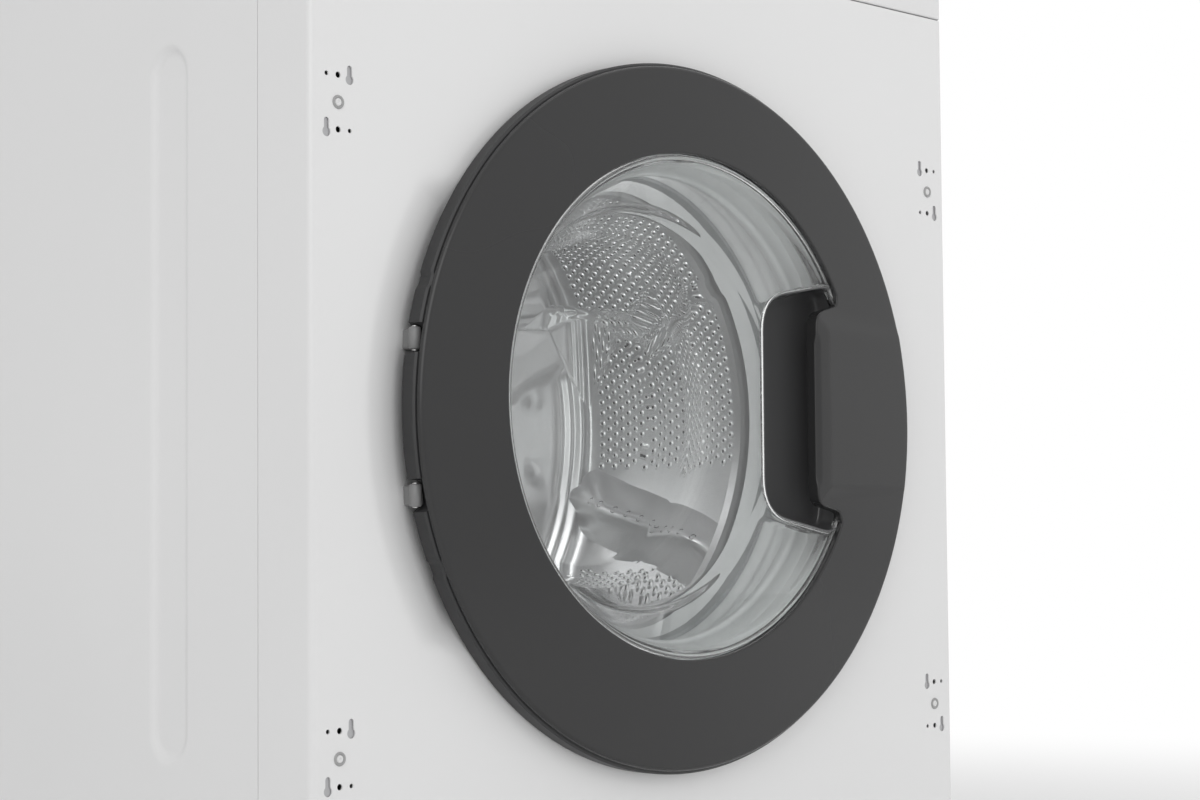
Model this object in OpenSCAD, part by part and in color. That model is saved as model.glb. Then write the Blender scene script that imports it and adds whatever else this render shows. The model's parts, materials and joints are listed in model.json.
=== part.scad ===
// Integrated washer dryer: front-loading cabinet with a porthole door on the left.
// The machine faces -Y, +X is to its right, and it stands on z = 0.
// Inside the modules y counts from the front panel's outer face, towards the rear.

/* [Cabinet] */
// Width over the side panels
cab_w = 595; // [580:1:600]
// Height over the top cover, feet screwed in
cab_h = 818; // [812:1:830]
// Depth from the front panel to the rear panel
cab_d = 515; // [510:1:540]
// Thickness of the steel sheet
sheet = 1; // [0.8:0.1:1.2]
// Height of the underside of the base above the floor
base_z = 18; // [16:1:24]
// Width of the flanges bent inwards round each sheet
flange_w = 15; // [10:1:20]
// Gap between two neighbouring panels
panel_gap = 0.5; // [0.3:0.1:1]

/* [Front panel] */
// Height of the front panel's lower edge
panel_z = 105; // [98:1:112]
// Height of the front panel
panel_h = 595; // [590:1:600]
// Depth of the returns on the front panel's sides
return_d = 49.5; // [44:0.5:56]
// Radius of the bent corners of the front panel
panel_corner = 4; // [3:0.5:6]
// Set-back of the plinth panel
plinth_back = 56; // [50:1:60]

/* [Door] */
// Height of the porthole's centre
door_z = 400; // [395:1:405]
// Outer radius of the door's front ring
ring_r = 230; // [226:1:232]
// Drop of the ring's centre below the porthole's centre
ring_drop = 7; // [5:1:9]
// Radius of the porthole
window_r = 165; // [160:1:168]
// Distance from the front panel to the ring's outer edge face
ring_edge_out = 17; // [15:1:19]
// Distance from the front panel to the ring's inner edge
ring_inner_out = 23; // [21:1:24]
// Distance from the front panel to the top of the handle land
handle_out = 27; // [26:1:30]
// Wall of the door mouldings
door_wall = 2.5; // [2:0.5:3]
// Radius of the rounded outer edge of the ring
ring_round = 3; // [2:0.5:3.5]
// Gap between the door and the front panel
door_gap = 0.8; // [0.5:0.1:1.2]
// Left-right place of the hinge axis
hinge_x = -224; // [-226:1:-222]
// Distance of the hinge axis in front of the front panel
hinge_out = 5; // [4:0.5:6]
// Radius of the hinge pins
hinge_pin_r = 3; // [2.5:0.5:3.5]

/* [Handle] */
// Left-right place of the handle's inner edge
tab_x = 114; // [110:1:118]
// Half height of the handle's inner edge
tab_half = 62; // [56:1:66]
// Left-right place of the pocket's inner side
pocket_x = 66; // [62:1:70]
// Half height of the pocket
pocket_half = 83; // [80:1:86]
// Depth of the pocket behind the clear screen
pocket_deep = 24; // [20:1:27]
// Corner radius of the pocket
pocket_round = 20; // [16:1:24]

/* [Glass bowl] */
// Thickness of the glass
glass_t = 5; // [4:0.5:6]
// Radius of the bright shoulder of the bowl
bowl_r = 137; // [134:1:140]
// Depth of the shoulder behind the front panel
bowl_shoulder = 33; // [30:1:36]
// Depth of the bowl's bottom behind the front panel
bowl_deep = 92; // [84:1:96]

/* [Drum and tub] */
// Radius of the drum
drum_r = 236; // [230:1:238]
// Radius of the drum's mouth
drum_mouth = 166; // [164:1:170]
// Front of the drum behind the front panel
drum_front = 89; // [88:1:92]
// Length of the drum
drum_len = 303; // [290:1:305]
// Thickness of the drum's sheet
drum_t = 1; // [0.8:0.1:1.2]
// Height of the lifters
lifter_h = 55; // [45:1:60]
// Outer radius of the tub
tub_r = 262; // [260:1:264]
// Wall of the tub
tub_t = 4; // [3:0.5:5]
// Radius of the drum shaft
shaft_r = 15; // [14:0.5:16]
// Outer radius of the drum pulley
pulley_r = 145; // [135:1:150]
// Outer radius of the motor pulley
motor_pulley_r = 10; // [8:0.5:12]
// Width of the drive belt
belt_w = 16; // [12:1:18]
// Running gap round a shaft
run_gap = 0.04; // [0.02:0.01:0.08]
// Gap between two pieces that seat on each other
seat_gap = 0.3; // [0.2:0.1:0.5]

/* [Controls] */
// Gap line under the control fascia
fascia_gap = 1; // [0.5:0.5:2]
// Wall of the control fascia
fascia_t = 2.5; // [2:0.5:3]
// Left-right place of the programme knob
knob_x = -45; // [-55:1:-35]
// Radius of the programme knob
knob_r = 26; // [22:1:28]
// Distance from the fascia to the knob's face
knob_out = 16; // [12:1:18]
// Travel of the push buttons
button_travel = 1.5; // [1:0.1:2]
// Width of the dispenser drawer's front
drawer_w = 168; // [160:1:172]
// Length of the dispenser drawer
drawer_len = 215; // [180:1:220]

/* [Hidden] */
$fn = 96;

// Reach of the rear fittings behind the rear panel
rear_out = 18;
// Front panel's outer face in the finished frame, with the origin under the middle of the box
panel_y = (handle_out - cab_d - rear_out) / 2;
half_w = cab_w / 2;
ring_z = door_z - ring_drop;
side_top = cab_h - 4;
fascia_z = panel_z + panel_h + fascia_gap;
eps = 0.01;

// Screen and bowl: places along y
screen_t = 3;
screen_front = -ring_inner_out + 6;
screen_back = screen_front + screen_t;
bowl_flange_front = screen_back + 0.2;
bowl_flange_r = window_r + 6;
bowl_neck_r = window_r - 5;
bowl_bottom_r = 112;

// Recess in the front panel beside the hinge
recess_r = 257;
recess_in = 188;
recess_deep = 14;
recess_slope = 23.5;
recess_half = 136;
recess_z = ring_z - 3;

// Mouth in the front panel, with the rolled lip that holds the seal
mouth_r = 172;
lip_len = 10;

// Latch on the right of the mouth
latch_x = 198;
latch_z = door_z;
slot_left = 9;
slot_right = 13;
slot_h = 24;
lock_left = 11.6;
lock_right = 22;

// Screw positions for the furniture door's hinges
hinge_hole_x = half_w - 20.5;
hinge_hole_z = [door_z - 210, door_z + 169];
hinge_hole_dx = 8.5;
hinge_hole_dz = 16;
hinge_hole_r = 1.9;
keyhole_half = 4.5;
plug_r = 4;
hinge_knuckle_z = [ring_z - 52, ring_z + 41];
knuckle_len = 14;
knuckle_r = 6;
bracket_in = 1.5;

// Tub: places along y
seal_t = 2.4;
tub_neck_r = 172;
tub_neck_front = 60;
tub_front_y = 78;
tub_split = 222;
drum_back = drum_front + drum_len;
tub_back = drum_back + 33;
hub_r = 42;
hub_end = tub_back + 32;
bearing_r = 31;
bearing_t = 15;
lifter_turn = 62;
pulley_y = hub_end + 7;
pulley_t = 20;
pulley_hub_r = 26;
motor_x = 130;
motor_z = 98;
motor_r = 57;
motor_back = tub_back + 15;
motor_front = motor_back - 190;
spring_x = 249;
spring_y = 250;
spring_shelf_z = 560;
spring_top_z = side_top - 38;
spring_r = 13;
spring_wire = 3;
damper_angle = 52;
damper_foot_x = 222;
damper_foot_z = 42;
damper_eye_r = 10;
damper_y = [225, 160, 370];

// Feet
foot_x = 255;
foot_y = [95, 470];
foot_pad_r = 20;
foot_pad_h = 12;
foot_stud_r = 5;
foot_stud_top = 58;
tray_floor = 3;
tray_h = 42;

// Pump and filter
filter_x = 190;
filter_z = 64;
filter_r = 30;
water_x = -200;
water_z = side_top - 44;
cable_x = 200;
drain_x = 250;
drain_z = 92;
rib_end_r = 176;
pump_wall = 3;
pump_front = plinth_back + 8;
pump_chamber_end = 165;
sump_x = 60;
sump_y = 186;
hose_pitch = 5.9;
sump_r = 22;
sump_z = 100;

flap_pin_y = 3.6;
flap_pin_z = 10;
flap_pin_r = 1.5;

// Drawer and its housing
drawer_x = -half_w + 12;
drawer_z = fascia_z + 10;
drawer_h = 92;
housing_gap = 2;
tray_w = drawer_w - 14;
tray_depth = 58;
drawer_bottom = drawer_z + 12;

// Controls
control_z = fascia_z + 56;
button_x = [175, 208, 252];
button_r = [9, 9, 14];
button_gap = 0.4;
button_cap = 3;
board_y = 30.3;
switch_h = 4.5;

// Dryer duct and fan
duct_x = 140;
duct_w = 150;
duct_z = 668;
duct_h = 80;
duct_t = 3;
fan_x = 190;
fan_y = tub_back - 5;
fan_r = 62;
fan_house_r = 76;
blade_count = 24;
blade_t = 1.5;
condenser_x = 182;
condenser_w = 100;
condenser_z = 330;
condenser_top = 664;

// Points of a circular arc in a plane outline
function arc(cx, cy, r, a0, a1, n = 8) =
    [for (i = [0:n]) [cx + r * cos(a0 + (a1 - a0) * i / n), cy + r * sin(a0 + (a1 - a0) * i / n)]];
function unit(v) = v / norm(v);
function turn(v) = [-v[1], v[0]];
// Offset point of an open line: mitred between the two neighbouring stretches
function miter(p, i, d) =
    let (a = i > 0 ? unit(p[i] - p[i - 1]) : unit(p[i + 1] - p[i]),
         b = i < len(p) - 1 ? unit(p[i + 1] - p[i]) : a,
         n = unit(turn(a) + turn(b)))
    p[i] + n * d / (n * turn(a));
// Outline of a strip of thickness t along an open line
function ribbon(p, t) = concat([for (i = [0:len(p) - 1]) miter(p, i, t / 2)],
    [for (i = [len(p) - 1:-1:0]) miter(p, i, -t / 2)]);
// Rounded rectangle about its own centre
function pill(w, h, r, n = 6) = concat(arc(w / 2 - r, h / 2 - r, r, 0, 90, n),
    arc(-w / 2 + r, h / 2 - r, r, 90, 180, n), arc(-w / 2 + r, -h / 2 + r, r, 180, 270, n),
    arc(w / 2 - r, -h / 2 + r, r, 270, 360, n));

// Moves a piece from the front panel's own plane into the finished frame
module here() translate([0, panel_y, 0]) children();
// Revolves an outline of radius and y about a front-to-back axis
module turned(points, z = door_z, x = 0) translate([x, 0, z]) rotate([-90, 0, 0])
    rotate_extrude() polygon(points);
// A rod, or a hole, from front to back
module rod_y(x, z, y0, y1, r) translate([x, y0, z]) rotate([-90, 0, 0]) cylinder(h = y1 - y0, r = r);
// A rod, or a hole, from z0 up to z1
module rod_z(x, y, z0, z1, r) translate([x, y, z0]) cylinder(h = z1 - z0, r = r);
// A flat outline in x and z, thickened from y0 to y1
module plate_y(y0, y1) translate([0, y1, 0]) rotate([90, 0, 0]) linear_extrude(y1 - y0) children();
// A block between two corners
module block(a, b) translate(a) cube(b - a);

// Sheet-metal cabinet

module side_sheet(s) {
    y0 = return_d + panel_gap;
    bead_w = 40;
    bead_d = 3;
    bead_z = [180, 620];
    mirror([s > 0 ? 0 : 1, 0, 0]) {
        difference() {
            union() {
                block([half_w - sheet, y0, base_z], [half_w, cab_d, side_top]);
                for (y = [y0 + 90, y0 + 330]) bead(y, bead_z, bead_w + 2 * sheet, bead_d + sheet, 0);
            }
            for (y = [y0 + 90, y0 + 330]) bead(y, bead_z, bead_w, bead_d, 1);
        }
        block([half_w - flange_w, y0, side_top - sheet], [half_w - sheet, cab_d - sheet, side_top]);
        block([half_w - flange_w, cab_d - sheet - panel_gap, base_z],
            [half_w - sheet, cab_d - panel_gap, side_top - sheet]);
        block([half_w - flange_w, y0, base_z], [half_w - sheet, cab_d - sheet, base_z + sheet]);
        block([spring_x - spring_r - 3, spring_y - 18, spring_top_z],
            [half_w - sheet, spring_y + 18, spring_top_z + 3]);
        block([spring_x - spring_r - 3, spring_y - 18, spring_top_z + 3],
            [spring_x - spring_r, spring_y + 18, side_top - sheet]);
    }
}
// Long stiffening bead pressed into a side, with round ends; past reaches beyond the side's face
module bead(y, z, w, d, past) translate([half_w - d, y, (z[0] + z[1]) / 2]) rotate([90, 0, 90])
    linear_extrude(d + past) polygon(pill(w, z[1] - z[0], w / 2 - eps));
module left_side_panel() color("gainsboro") here() side_sheet(-1);
module right_side_panel() color("gainsboro") here() side_sheet(1);

module rear_panel() color("silver") here() {
    inner_w = half_w - sheet - panel_gap;
    z0 = 62;
    bulge_r = pulley_r + 20;
    difference() {
        block([-inner_w, cab_d, z0], [inner_w, cab_d + sheet, side_top - panel_gap]);
        rod_y(water_x, water_z, cab_d - 1, cab_d + 3, 15);
        rod_y(drain_x, drain_z, cab_d - 1, cab_d + 3, 14);
        rod_y(cable_x, water_z, cab_d - 1, cab_d + 3, 12);
        rod_y(0, door_z, cab_d - 1, cab_d + 3, bulge_r);
        for (x = [-190, 190], z = [190, 590]) rod_y(x, z, cab_d - 1, cab_d + 3, 16);
        for (i = [0:7]) plate_y(cab_d - 1, cab_d + 3) translate([-60 + 17 * i, side_top - 84])
            polygon(pill(6, 44, 2.9));
    }
    turned(ribbon([[bulge_r + 1, cab_d + sheet / 2], [bulge_r - 6, cab_d + 8],
        [bulge_r - 40, cab_d + 8], [1, cab_d + 8]], sheet));
    for (x = [-190, 190], z = [190, 590]) turned([[0, cab_d - 6], [13, cab_d - 6], [15.7, cab_d],
        [15.7, cab_d + sheet], [19, cab_d + sheet], [18, cab_d + 3], [0, cab_d + 4]], z, x);
}

module top_cover() color("white") here() difference() {
    block([-half_w, 8, side_top], [half_w, cab_d + sheet, cab_h]);
    block([-half_w + 2, 10, side_top - 1], [half_w - 2, cab_d - 1, cab_h - 1.5]);
}

module base_tray() color("dimgray") here() {
    x1 = half_w - sheet - panel_gap;
    y0 = plinth_back + 8;
    y1 = cab_d - sheet - 2 * panel_gap;
    z0 = base_z + sheet + panel_gap;
    z1 = z0 + tray_h;
    rib = 2.5;
    difference() {
        union() {
            difference() {
                block([-x1, y0, z0], [x1, y1, z1]);
                block([-x1 + rib, y0 + rib, z0 + tray_floor], [x1 - rib, y1 - rib, z1 + 1]);
            }
            for (x = [-190, -110, -40, 40]) block([x, 230, z0], [x + rib, y1 - 1, z0 + 14]);
            for (y = [260, 400]) block([-x1 + 1, y, z0], [48, y + rib, z0 + 14]);
            for (x = [-foot_x, foot_x], y = foot_y) translate([x, y, z0])
                cylinder(h = tray_h - 10, r = foot_stud_r + 5);
            block([filter_x - 20, pump_front + 12, z0], [filter_x + 20, pump_chamber_end,
                filter_z - filter_r
                - pump_wall - seat_gap]);
            for (s = damper_places()) damper_seat(s, z0);
        }
        for (x = [-foot_x, foot_x], y = foot_y) translate([x, y, 0])
            cylinder(h = cab_h, r = foot_stud_r + run_gap);
        block([filter_x - filter_r - 14, y0 - 1, z0 + tray_floor + 2],
            [filter_x + filter_r + 14, y0 + rib + 1, z1 + 1]);
    }
}

// Front panel with its mouth, hinge recess and screw positions

function u_outline(t, back) = concat([[-half_w + t, back]],
    arc(-half_w + panel_corner, panel_corner, panel_corner - t, 180, 270, 6),
    arc(half_w - panel_corner, panel_corner, panel_corner - t, 270, 360, 6), [[half_w - t, back]]);
module u_sheet(z0, z1, t) translate([0, 0, z0]) linear_extrude(z1 - z0) difference() {
    polygon(u_outline(0, return_d));
    polygon(u_outline(t, return_d + 1));
}
module recess_space(grow) intersection() {
    turned([[recess_in - grow, -1 + grow], [recess_r + grow + recess_slope / recess_deep, -1 + grow],
        [recess_r + grow, 0], [recess_r - recess_slope + grow, recess_deep + grow],
        [recess_in - grow, recess_deep + grow]], recess_z);
    block([-recess_r - 10, -5, recess_z - recess_half - grow], [-60, recess_deep + 5, recess_z + recess_half
        + grow]);
}
module hinge_holes(x, z, s) {
    for (i = [-1, 1]) rod_y(x, z + i * hinge_hole_dz, -1, 4, hinge_hole_r);
    for (i = [-1, 1]) rod_y(x + s * i * hinge_hole_dx, z + i * hinge_hole_dz, -1, 4, hinge_hole_r - 0.5);
    for (i = [-1, 1]) plate_y(-1, 4) translate([x - s * i * hinge_hole_dx, z + i * hinge_hole_dz])
        polygon(pill(2 * hinge_hole_r, 2 * keyhole_half, hinge_hole_r - eps));
    rod_y(x, z, -1, 4, plug_r - 1);
}
module front_panel() color("white") here() difference() {
    union() {
        difference() {
            union() {
                u_sheet(panel_z, panel_z + panel_h, sheet);
                block([-half_w + panel_corner, sheet / 2, panel_z], [half_w - panel_corner, plinth_back + 5,
                    panel_z + sheet]);
                block([-half_w + panel_corner, sheet / 2, panel_z + panel_h - sheet],
                    [half_w - panel_corner, flange_w, panel_z + panel_h]);
            }
            recess_space(0);
        }
        difference() {
            recess_space(sheet);
            recess_space(0);
        }
        turned([[mouth_r, 0], [mouth_r + sheet, 0], [mouth_r + sheet, lip_len], [mouth_r, lip_len]]);
    }
    rod_y(0, door_z, -5, 5, mouth_r);
    block([latch_x - slot_left, -1, latch_z - slot_h / 2], [latch_x + slot_right, 4, latch_z + slot_h / 2]);
    for (s = [-1, 1], z = hinge_hole_z) hinge_holes(s * hinge_hole_x, z, s);
    for (z = hinge_knuckle_z, i = [-1, 1]) rod_y(hinge_x + 22, z + i * 11, recess_deep - 1,
        recess_deep + 3, 2);
}

module plinth_panel() color("dimgray") here() {
    z0 = base_z + 4;
    z1 = panel_z - 2;
    flap_w = 2 * filter_r + 22;
    difference() {
        union() {
            block([-half_w + 3, plinth_back, z0], [half_w - 3, plinth_back + 2, z1]);
            block([-half_w + 3, plinth_back, z1 - 2], [half_w - 3, plinth_back + 5.5, z1]);
        }
        block([filter_x - flap_w / 2, plinth_back - 1, z0 + 4.8], [filter_x + flap_w / 2,
            plinth_back + 3, z1 - 6]);
    }
    for (s = [-1, 1]) difference() {
        block([filter_x + s * (flap_w / 2 + 2) - 1.5, plinth_back + 2, z0 + 3],
            [filter_x + s * (flap_w / 2 + 2) + 1.5, plinth_back + 7.5, z0 + 14]);
        translate([filter_x, plinth_back + flap_pin_y, z0 + flap_pin_z]) rotate([0, 90, 0])
            cylinder(h = 2 * flap_w, r = flap_pin_r + run_gap, center = true);
    }
}
module filter_flap() color("gray") here() {
    z0 = base_z + 10;
    z1 = panel_z - 8.5;
    w = 2 * filter_r + 21;
    pin_z = base_z + 4 + flap_pin_z;
    difference() {
        block([filter_x - w / 2, plinth_back, z0], [filter_x + w / 2, plinth_back + 2, z1]);
        turned([[0, plinth_back - 1], [14, plinth_back - 1], [10, plinth_back + 1], [0, plinth_back + 1]],
            z1 - 1, filter_x);
    }
    for (s = [-1, 1]) translate([filter_x + s * (w / 2 - 4), plinth_back + flap_pin_y, pin_z]) {
        rotate([0, 90, 0]) cylinder(h = 15, r = flap_pin_r, center = true);
        translate([-2 - s * 1.5, -flap_pin_y + 1.5, -3]) cube([4, flap_pin_y - 1 + flap_pin_r, 6]);
    }
}

// Control fascia and its pieces

module fascia_cuts() {
    block([drawer_x - 0.8, -1, drawer_z - 0.8], [drawer_x + drawer_w + 0.8, fascia_t + 1,
        drawer_z + drawer_h
        + 0.8]);
    rod_y(knob_x, control_z, -1, fascia_t + 1, 4 + run_gap);
    block([50, -1, control_z - 24], [150, fascia_t + 1, control_z + 24]);
    for (i = [0:2]) rod_y(button_x[i], control_z, -1, fascia_t + 1, button_r[i] + button_gap);
}
module control_fascia() color("white") here() difference() {
    union() {
        u_sheet(fascia_z, side_top - 1, fascia_t);
        for (z = [fascia_z, side_top - 1 - fascia_t])
            block([-half_w + panel_corner, fascia_t / 2, z], [half_w - panel_corner, 30, z + fascia_t]);
        turned([[knob_r + 3, fascia_t - 1], [knob_r + 5, fascia_t - 1], [knob_r + 5, 8], [knob_r + 3, 8]],
            control_z, knob_x);
        for (x = [20, 285], z = [control_z - 28, control_z + 28]) rod_y(x, z, fascia_t / 2, 30, 4);
    }
    fascia_cuts();
    block([drawer_x - 1, 1, fascia_z + fascia_t], [drawer_x + drawer_w + 1, 31, side_top - 1 - fascia_t]);
}
module display_window() color("black") here() {
    block([50.2, -0.3, control_z - 23.8], [149.8, 2, control_z + 23.8]);
    block([46, fascia_t, control_z - 27], [154, fascia_t + 1.5, control_z + 27]);
    block([50.2, 2, control_z - 23.8], [149.8, fascia_t, control_z + 23.8]);
}
module program_knob() color("silver") here() {
    difference() {
        turned([[0, -knob_out + 1.5], [knob_r - 6, -knob_out + 1], [knob_r - 4, -knob_out],
            [knob_r - 2, -knob_out], [knob_r - 1, -knob_out + 1], [knob_r, -3], [knob_r + 1, -1], [0, -1]],
            control_z, knob_x);
        for (i = [0:35]) translate([knob_x, 0, control_z]) rotate([0, 10 * i, 0])
            rod_y(knob_r + 1.2, 0, -knob_out - 1, -3.5, 1.6);
        rod_y(knob_x, control_z + knob_r - 9, -knob_out - 1, -knob_out + 2, 1.5);
    }
    rod_y(knob_x, control_z, -1.5, 22, 4);
}
module push_button(i) {
    r = button_r[i];
    stem_end = board_y - switch_h - seat_gap - button_travel;
    turned([[0, -1], [r - 3, -1.4], [r - 1, -1.2], [r, -0.4], [r, fascia_t + seat_gap], [r + 2,
        fascia_t + seat_gap],
        [r + 2, fascia_t + button_cap], [3, fascia_t + button_cap], [3, stem_end], [0, stem_end]],
            control_z,
        button_x[i]);
}
module spin_button() color("silver") here() push_button(0);
module dry_button() color("silver") here() push_button(1);
module start_button() color("silver") here() push_button(2);

module control_board() color("darkgreen") here() {
    y = board_y;
    difference() {
        block([12, y, control_z - 38], [290, y + 1.6, control_z + 38]);
        for (i = [0:2]) rod_y(button_x[i], control_z, y - 1, y + 3, 3);
    }
    block([60, y - 20, control_z - 20], [140, y, control_z + 20]);
    for (i = [0:2]) block([button_x[i] - 6, y - switch_h, control_z - 6], [button_x[i] + 6, y,
        control_z + 6]);
    for (i = [0:3]) rod_y(40 + 62 * i, control_z + 26, y + 1.6, y + 16, 7);
    block([knob_x - 14, 12, control_z - 14], [knob_x - 4.2, 29, control_z + 14]);
    block([knob_x + 4.2, 12, control_z - 14], [knob_x + 14, 29, control_z + 14]);
    block([knob_x - 14, 29, control_z - 14], [15, y + 1.6, control_z + 14]);
}

// Arched grip opening in the lower edge of the drawer's front
module grip_shape() polygon(concat([[-49, -1], [49, -1]], arc(40, 20, 9, 0, 90), arc(-40, 20, 9, 90, 180)));
module drawer_front() color("white") here() difference() {
    union() {
        difference() {
            block([drawer_x, 0, drawer_z], [drawer_x + drawer_w, 12, drawer_z + drawer_h]);
            block([drawer_x + 2.5, 2.5, drawer_z + 2.5], [drawer_x + drawer_w - 2.5, 13,
                drawer_z + drawer_h - 2.5]);
        }
        translate([drawer_x + drawer_w / 2, 0, drawer_z]) plate_y(2.4, 11.5)
            polygon([[-52, 0.5], [52, 0.5], [52, 32], [-52, 32]]);
    }
    translate([drawer_x + drawer_w / 2, 0, drawer_z]) plate_y(-1, 9.5) grip_shape();
}
module tray_outline(grow, up) block([drawer_x + 7 - grow, 12.2 - grow, drawer_bottom - grow],
    [drawer_x + 7 + tray_w + grow, 12.2 + drawer_len + grow, drawer_bottom + tray_depth + up]);
module drawer_tray() color("whitesmoke") here() {
    w = 2;
    x0 = drawer_x + 7;
    cells = [[x0 + w, 52], [x0 + w + 54, 44], [x0 + w + 100, tray_w - 100 - 2 * w]];
    difference() {
        tray_outline(0, 0);
        for (c = cells) block([c[0], 12.2 + w + 16, drawer_bottom + w],
            [c[0] + c[1], 12.2 + drawer_len - w - 26, drawer_bottom + tray_depth + 1]);
        block([x0 + w, 12.2 + drawer_len - w - 24, drawer_bottom + w],
            [x0 + tray_w - w, 12.2 + drawer_len - w, drawer_bottom + tray_depth - 20]);
        block([x0 + w, 12.2 + w, drawer_bottom + w], [x0 + tray_w - w, 12.2 + w + 14,
            drawer_bottom + tray_depth
            - 10]);
    }
    translate([x0 + w + 54 + 22, 12.2 + drawer_len - w - 50, drawer_bottom + w]) cylinder(h = 24, r = 7);
}
module dispenser_housing() color("whitesmoke") here() {
    w = 2;
    difference() {
        union() {
            difference() {
                tray_outline(housing_gap + w, housing_gap + 14);
                tray_outline(housing_gap, housing_gap + 12);
                block([drawer_x - 10, 0, drawer_bottom - 10], [drawer_x + drawer_w + 10, 33, side_top]);
            }
            translate([drawer_x + drawer_w / 2, 120, drawer_bottom + tray_depth + housing_gap + 14])
                cylinder(h = 6, r = 16);
            for (x = [drawer_x + 3 - w, drawer_x + tray_w + 11]) block([x - 5, 33, drawer_bottom + 20],
                [x + w + 5, 36, drawer_bottom + 50]);
            rod_y(water_x, water_z, 12 + drawer_len, 12 + drawer_len + 18, 8);
        }
        rod_y(water_x, water_z, 10 + drawer_len, 12 + drawer_len + 30, 6);
        tray_outline(housing_gap, housing_gap + 12);
    }
}

// Door

function ring_profile() = concat([[150, -ring_inner_out - 1.8]],
    arc(ring_r - ring_round, -ring_edge_out + ring_round, ring_round, -96, 0, 6), [[ring_r, -13.4],
    [ring_r - door_wall, -13.4]], arc(ring_r - ring_round - 0.5,
        -ring_edge_out + ring_round + door_wall - 0.5,
    1, 0, -96, 3), [[150, -ring_inner_out - 1.8 + door_wall]]);
// Outline of the handle tab in x and z, about the porthole's centre
function tab_outline(g) = concat([[200, tab_half + 16 + g], [window_r - 20, tab_half + 16 + g]],
    arc(tab_x + 12 - g, tab_half - 3 + g, 12, 120, 180, 5), arc(tab_x + 12 - g, -tab_half + 7 - g, 12,
        180, 240,
    5), [[window_r - 20, -tab_half - 12 - g], [200, -tab_half - 12 - g]]);
module handle_land() {
    y_out = -handle_out;
    x_end = ring_r - 6;
    y_end = -ring_edge_out;
    intersection() {
        translate([0, 0, door_z]) plate_y(y_out - 1, -ring_edge_out + 3) polygon(concat(tab_outline(0),
            [[x_end, -tab_half - 12], [x_end, tab_half + 16]]));
        translate([0, 0, door_z - 120]) linear_extrude(240) polygon([[tab_x - 1, -ring_inner_out - 1],
            [tab_x + 6, y_out], [tab_x + 16, y_out], [x_end, y_end], [x_end, y_end + 2],
            [window_r + 4, -ring_inner_out + 2.2], [tab_x - 1, -ring_inner_out + 2.2]]);
        translate([tab_x - 10, 0, door_z]) rotate([90, 0, 90]) linear_extrude(160) polygon([[y_out - 1,
            -54],
            [y_out - 1, 54], [-ring_edge_out, 82], [-ring_edge_out + 4, 82], [-ring_edge_out + 4, -80],
            [-ring_edge_out, -80]]);
    }
}
module door_ring() color("#3c3c3c") here() {
    difference() {
        turned(ring_profile(), ring_z);
        rod_y(0, door_z, -60, 10, window_r + door_wall);
    }
    difference() {
        turned([[window_r, -ring_inner_out + 0.6], [window_r + 0.6, -ring_inner_out],
            [window_r + door_wall + 1, -ring_inner_out], [window_r + door_wall + 1,
                screen_front - seat_gap],
            [window_r, screen_front - seat_gap]]);
        translate([0, 0, door_z]) plate_y(-60, -ring_inner_out + 2.2) polygon(tab_outline(-1));
    }
    handle_land();
}
module notch(z, h, w) block([-ring_r - 8, -8.5, z - h / 2], [-ring_r + w, 3, z + h / 2]);
module door_back_frame() color("#262626") here() {
    rim = ring_r + 2;
    y_back = -door_gap;
    y_front = -13;
    inner = window_r + 8;
    difference() {
        union() {
            turned([[rim - door_wall, y_front], [rim - 1.2, y_front], [rim, y_front + 1.2], [rim,
                y_back - 0.8],
                [rim - 0.8, y_back], [inner, y_back], [inner, y_front + 3], [inner + door_wall,
                    y_front + 3],
                [inner + door_wall, y_back - door_wall], [rim - door_wall, y_back - door_wall]], ring_z);
            for (z = hinge_knuckle_z, i = [-1, 1]) translate([hinge_x, -hinge_out, z + i * 13]) hinge_ear();
            for (i = [-1, 1]) block([latch_x - 10, -12, latch_z + i * 9.5 - 2], [latch_x + 10, y_back,
                latch_z
                + i * 9.5 + 2]);
        }
        rod_y(0, door_z, -60, 10, window_r + 7.5);
        notch(ring_z + 41, 15, 8);
        notch(ring_z - 52, 15, 8);
        notch(ring_z + 76, 9, 6);
        notch(ring_z - 96, 9, 6);
        for (z = hinge_knuckle_z) {
            rod_z(hinge_x, -hinge_out, z - 18, z + 18.1, hinge_pin_r + run_gap);
            rod_z(hinge_x, -hinge_out, z + 18, z + 20, hinge_pin_r + 1.2);
            rod_z(hinge_x, -hinge_out, z - 24, z - 17.9, hinge_pin_r + 1.2);
            rod_z(hinge_x, -hinge_out, z - 8, z + 8, knuckle_r + 2);
            block([hinge_x - 12, -hinge_out - 8, z - 7.8], [hinge_x + 20, 5, z + 7.8]);
        }
        block([latch_x - 7, -20, latch_z - 7.3], [latch_x + 9, 5, latch_z + 7.3]);
        rod_z(latch_x, -7, latch_z - 30, latch_z + 30, 2 + run_gap);
    }
}
module hinge_ear() {
    translate([0, 0, -5]) cylinder(h = 10, r = 4.2);
    block([0, -4, -5], [16, 4.2, 5]);
}
module hinge_pins() color("silver") here() for (z = hinge_knuckle_z) {
    rod_z(hinge_x, -hinge_out, z - 18, z + 18, hinge_pin_r);
    rod_z(hinge_x, -hinge_out, z + 18, z + 19.5, hinge_pin_r + 0.9);
}
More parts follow.
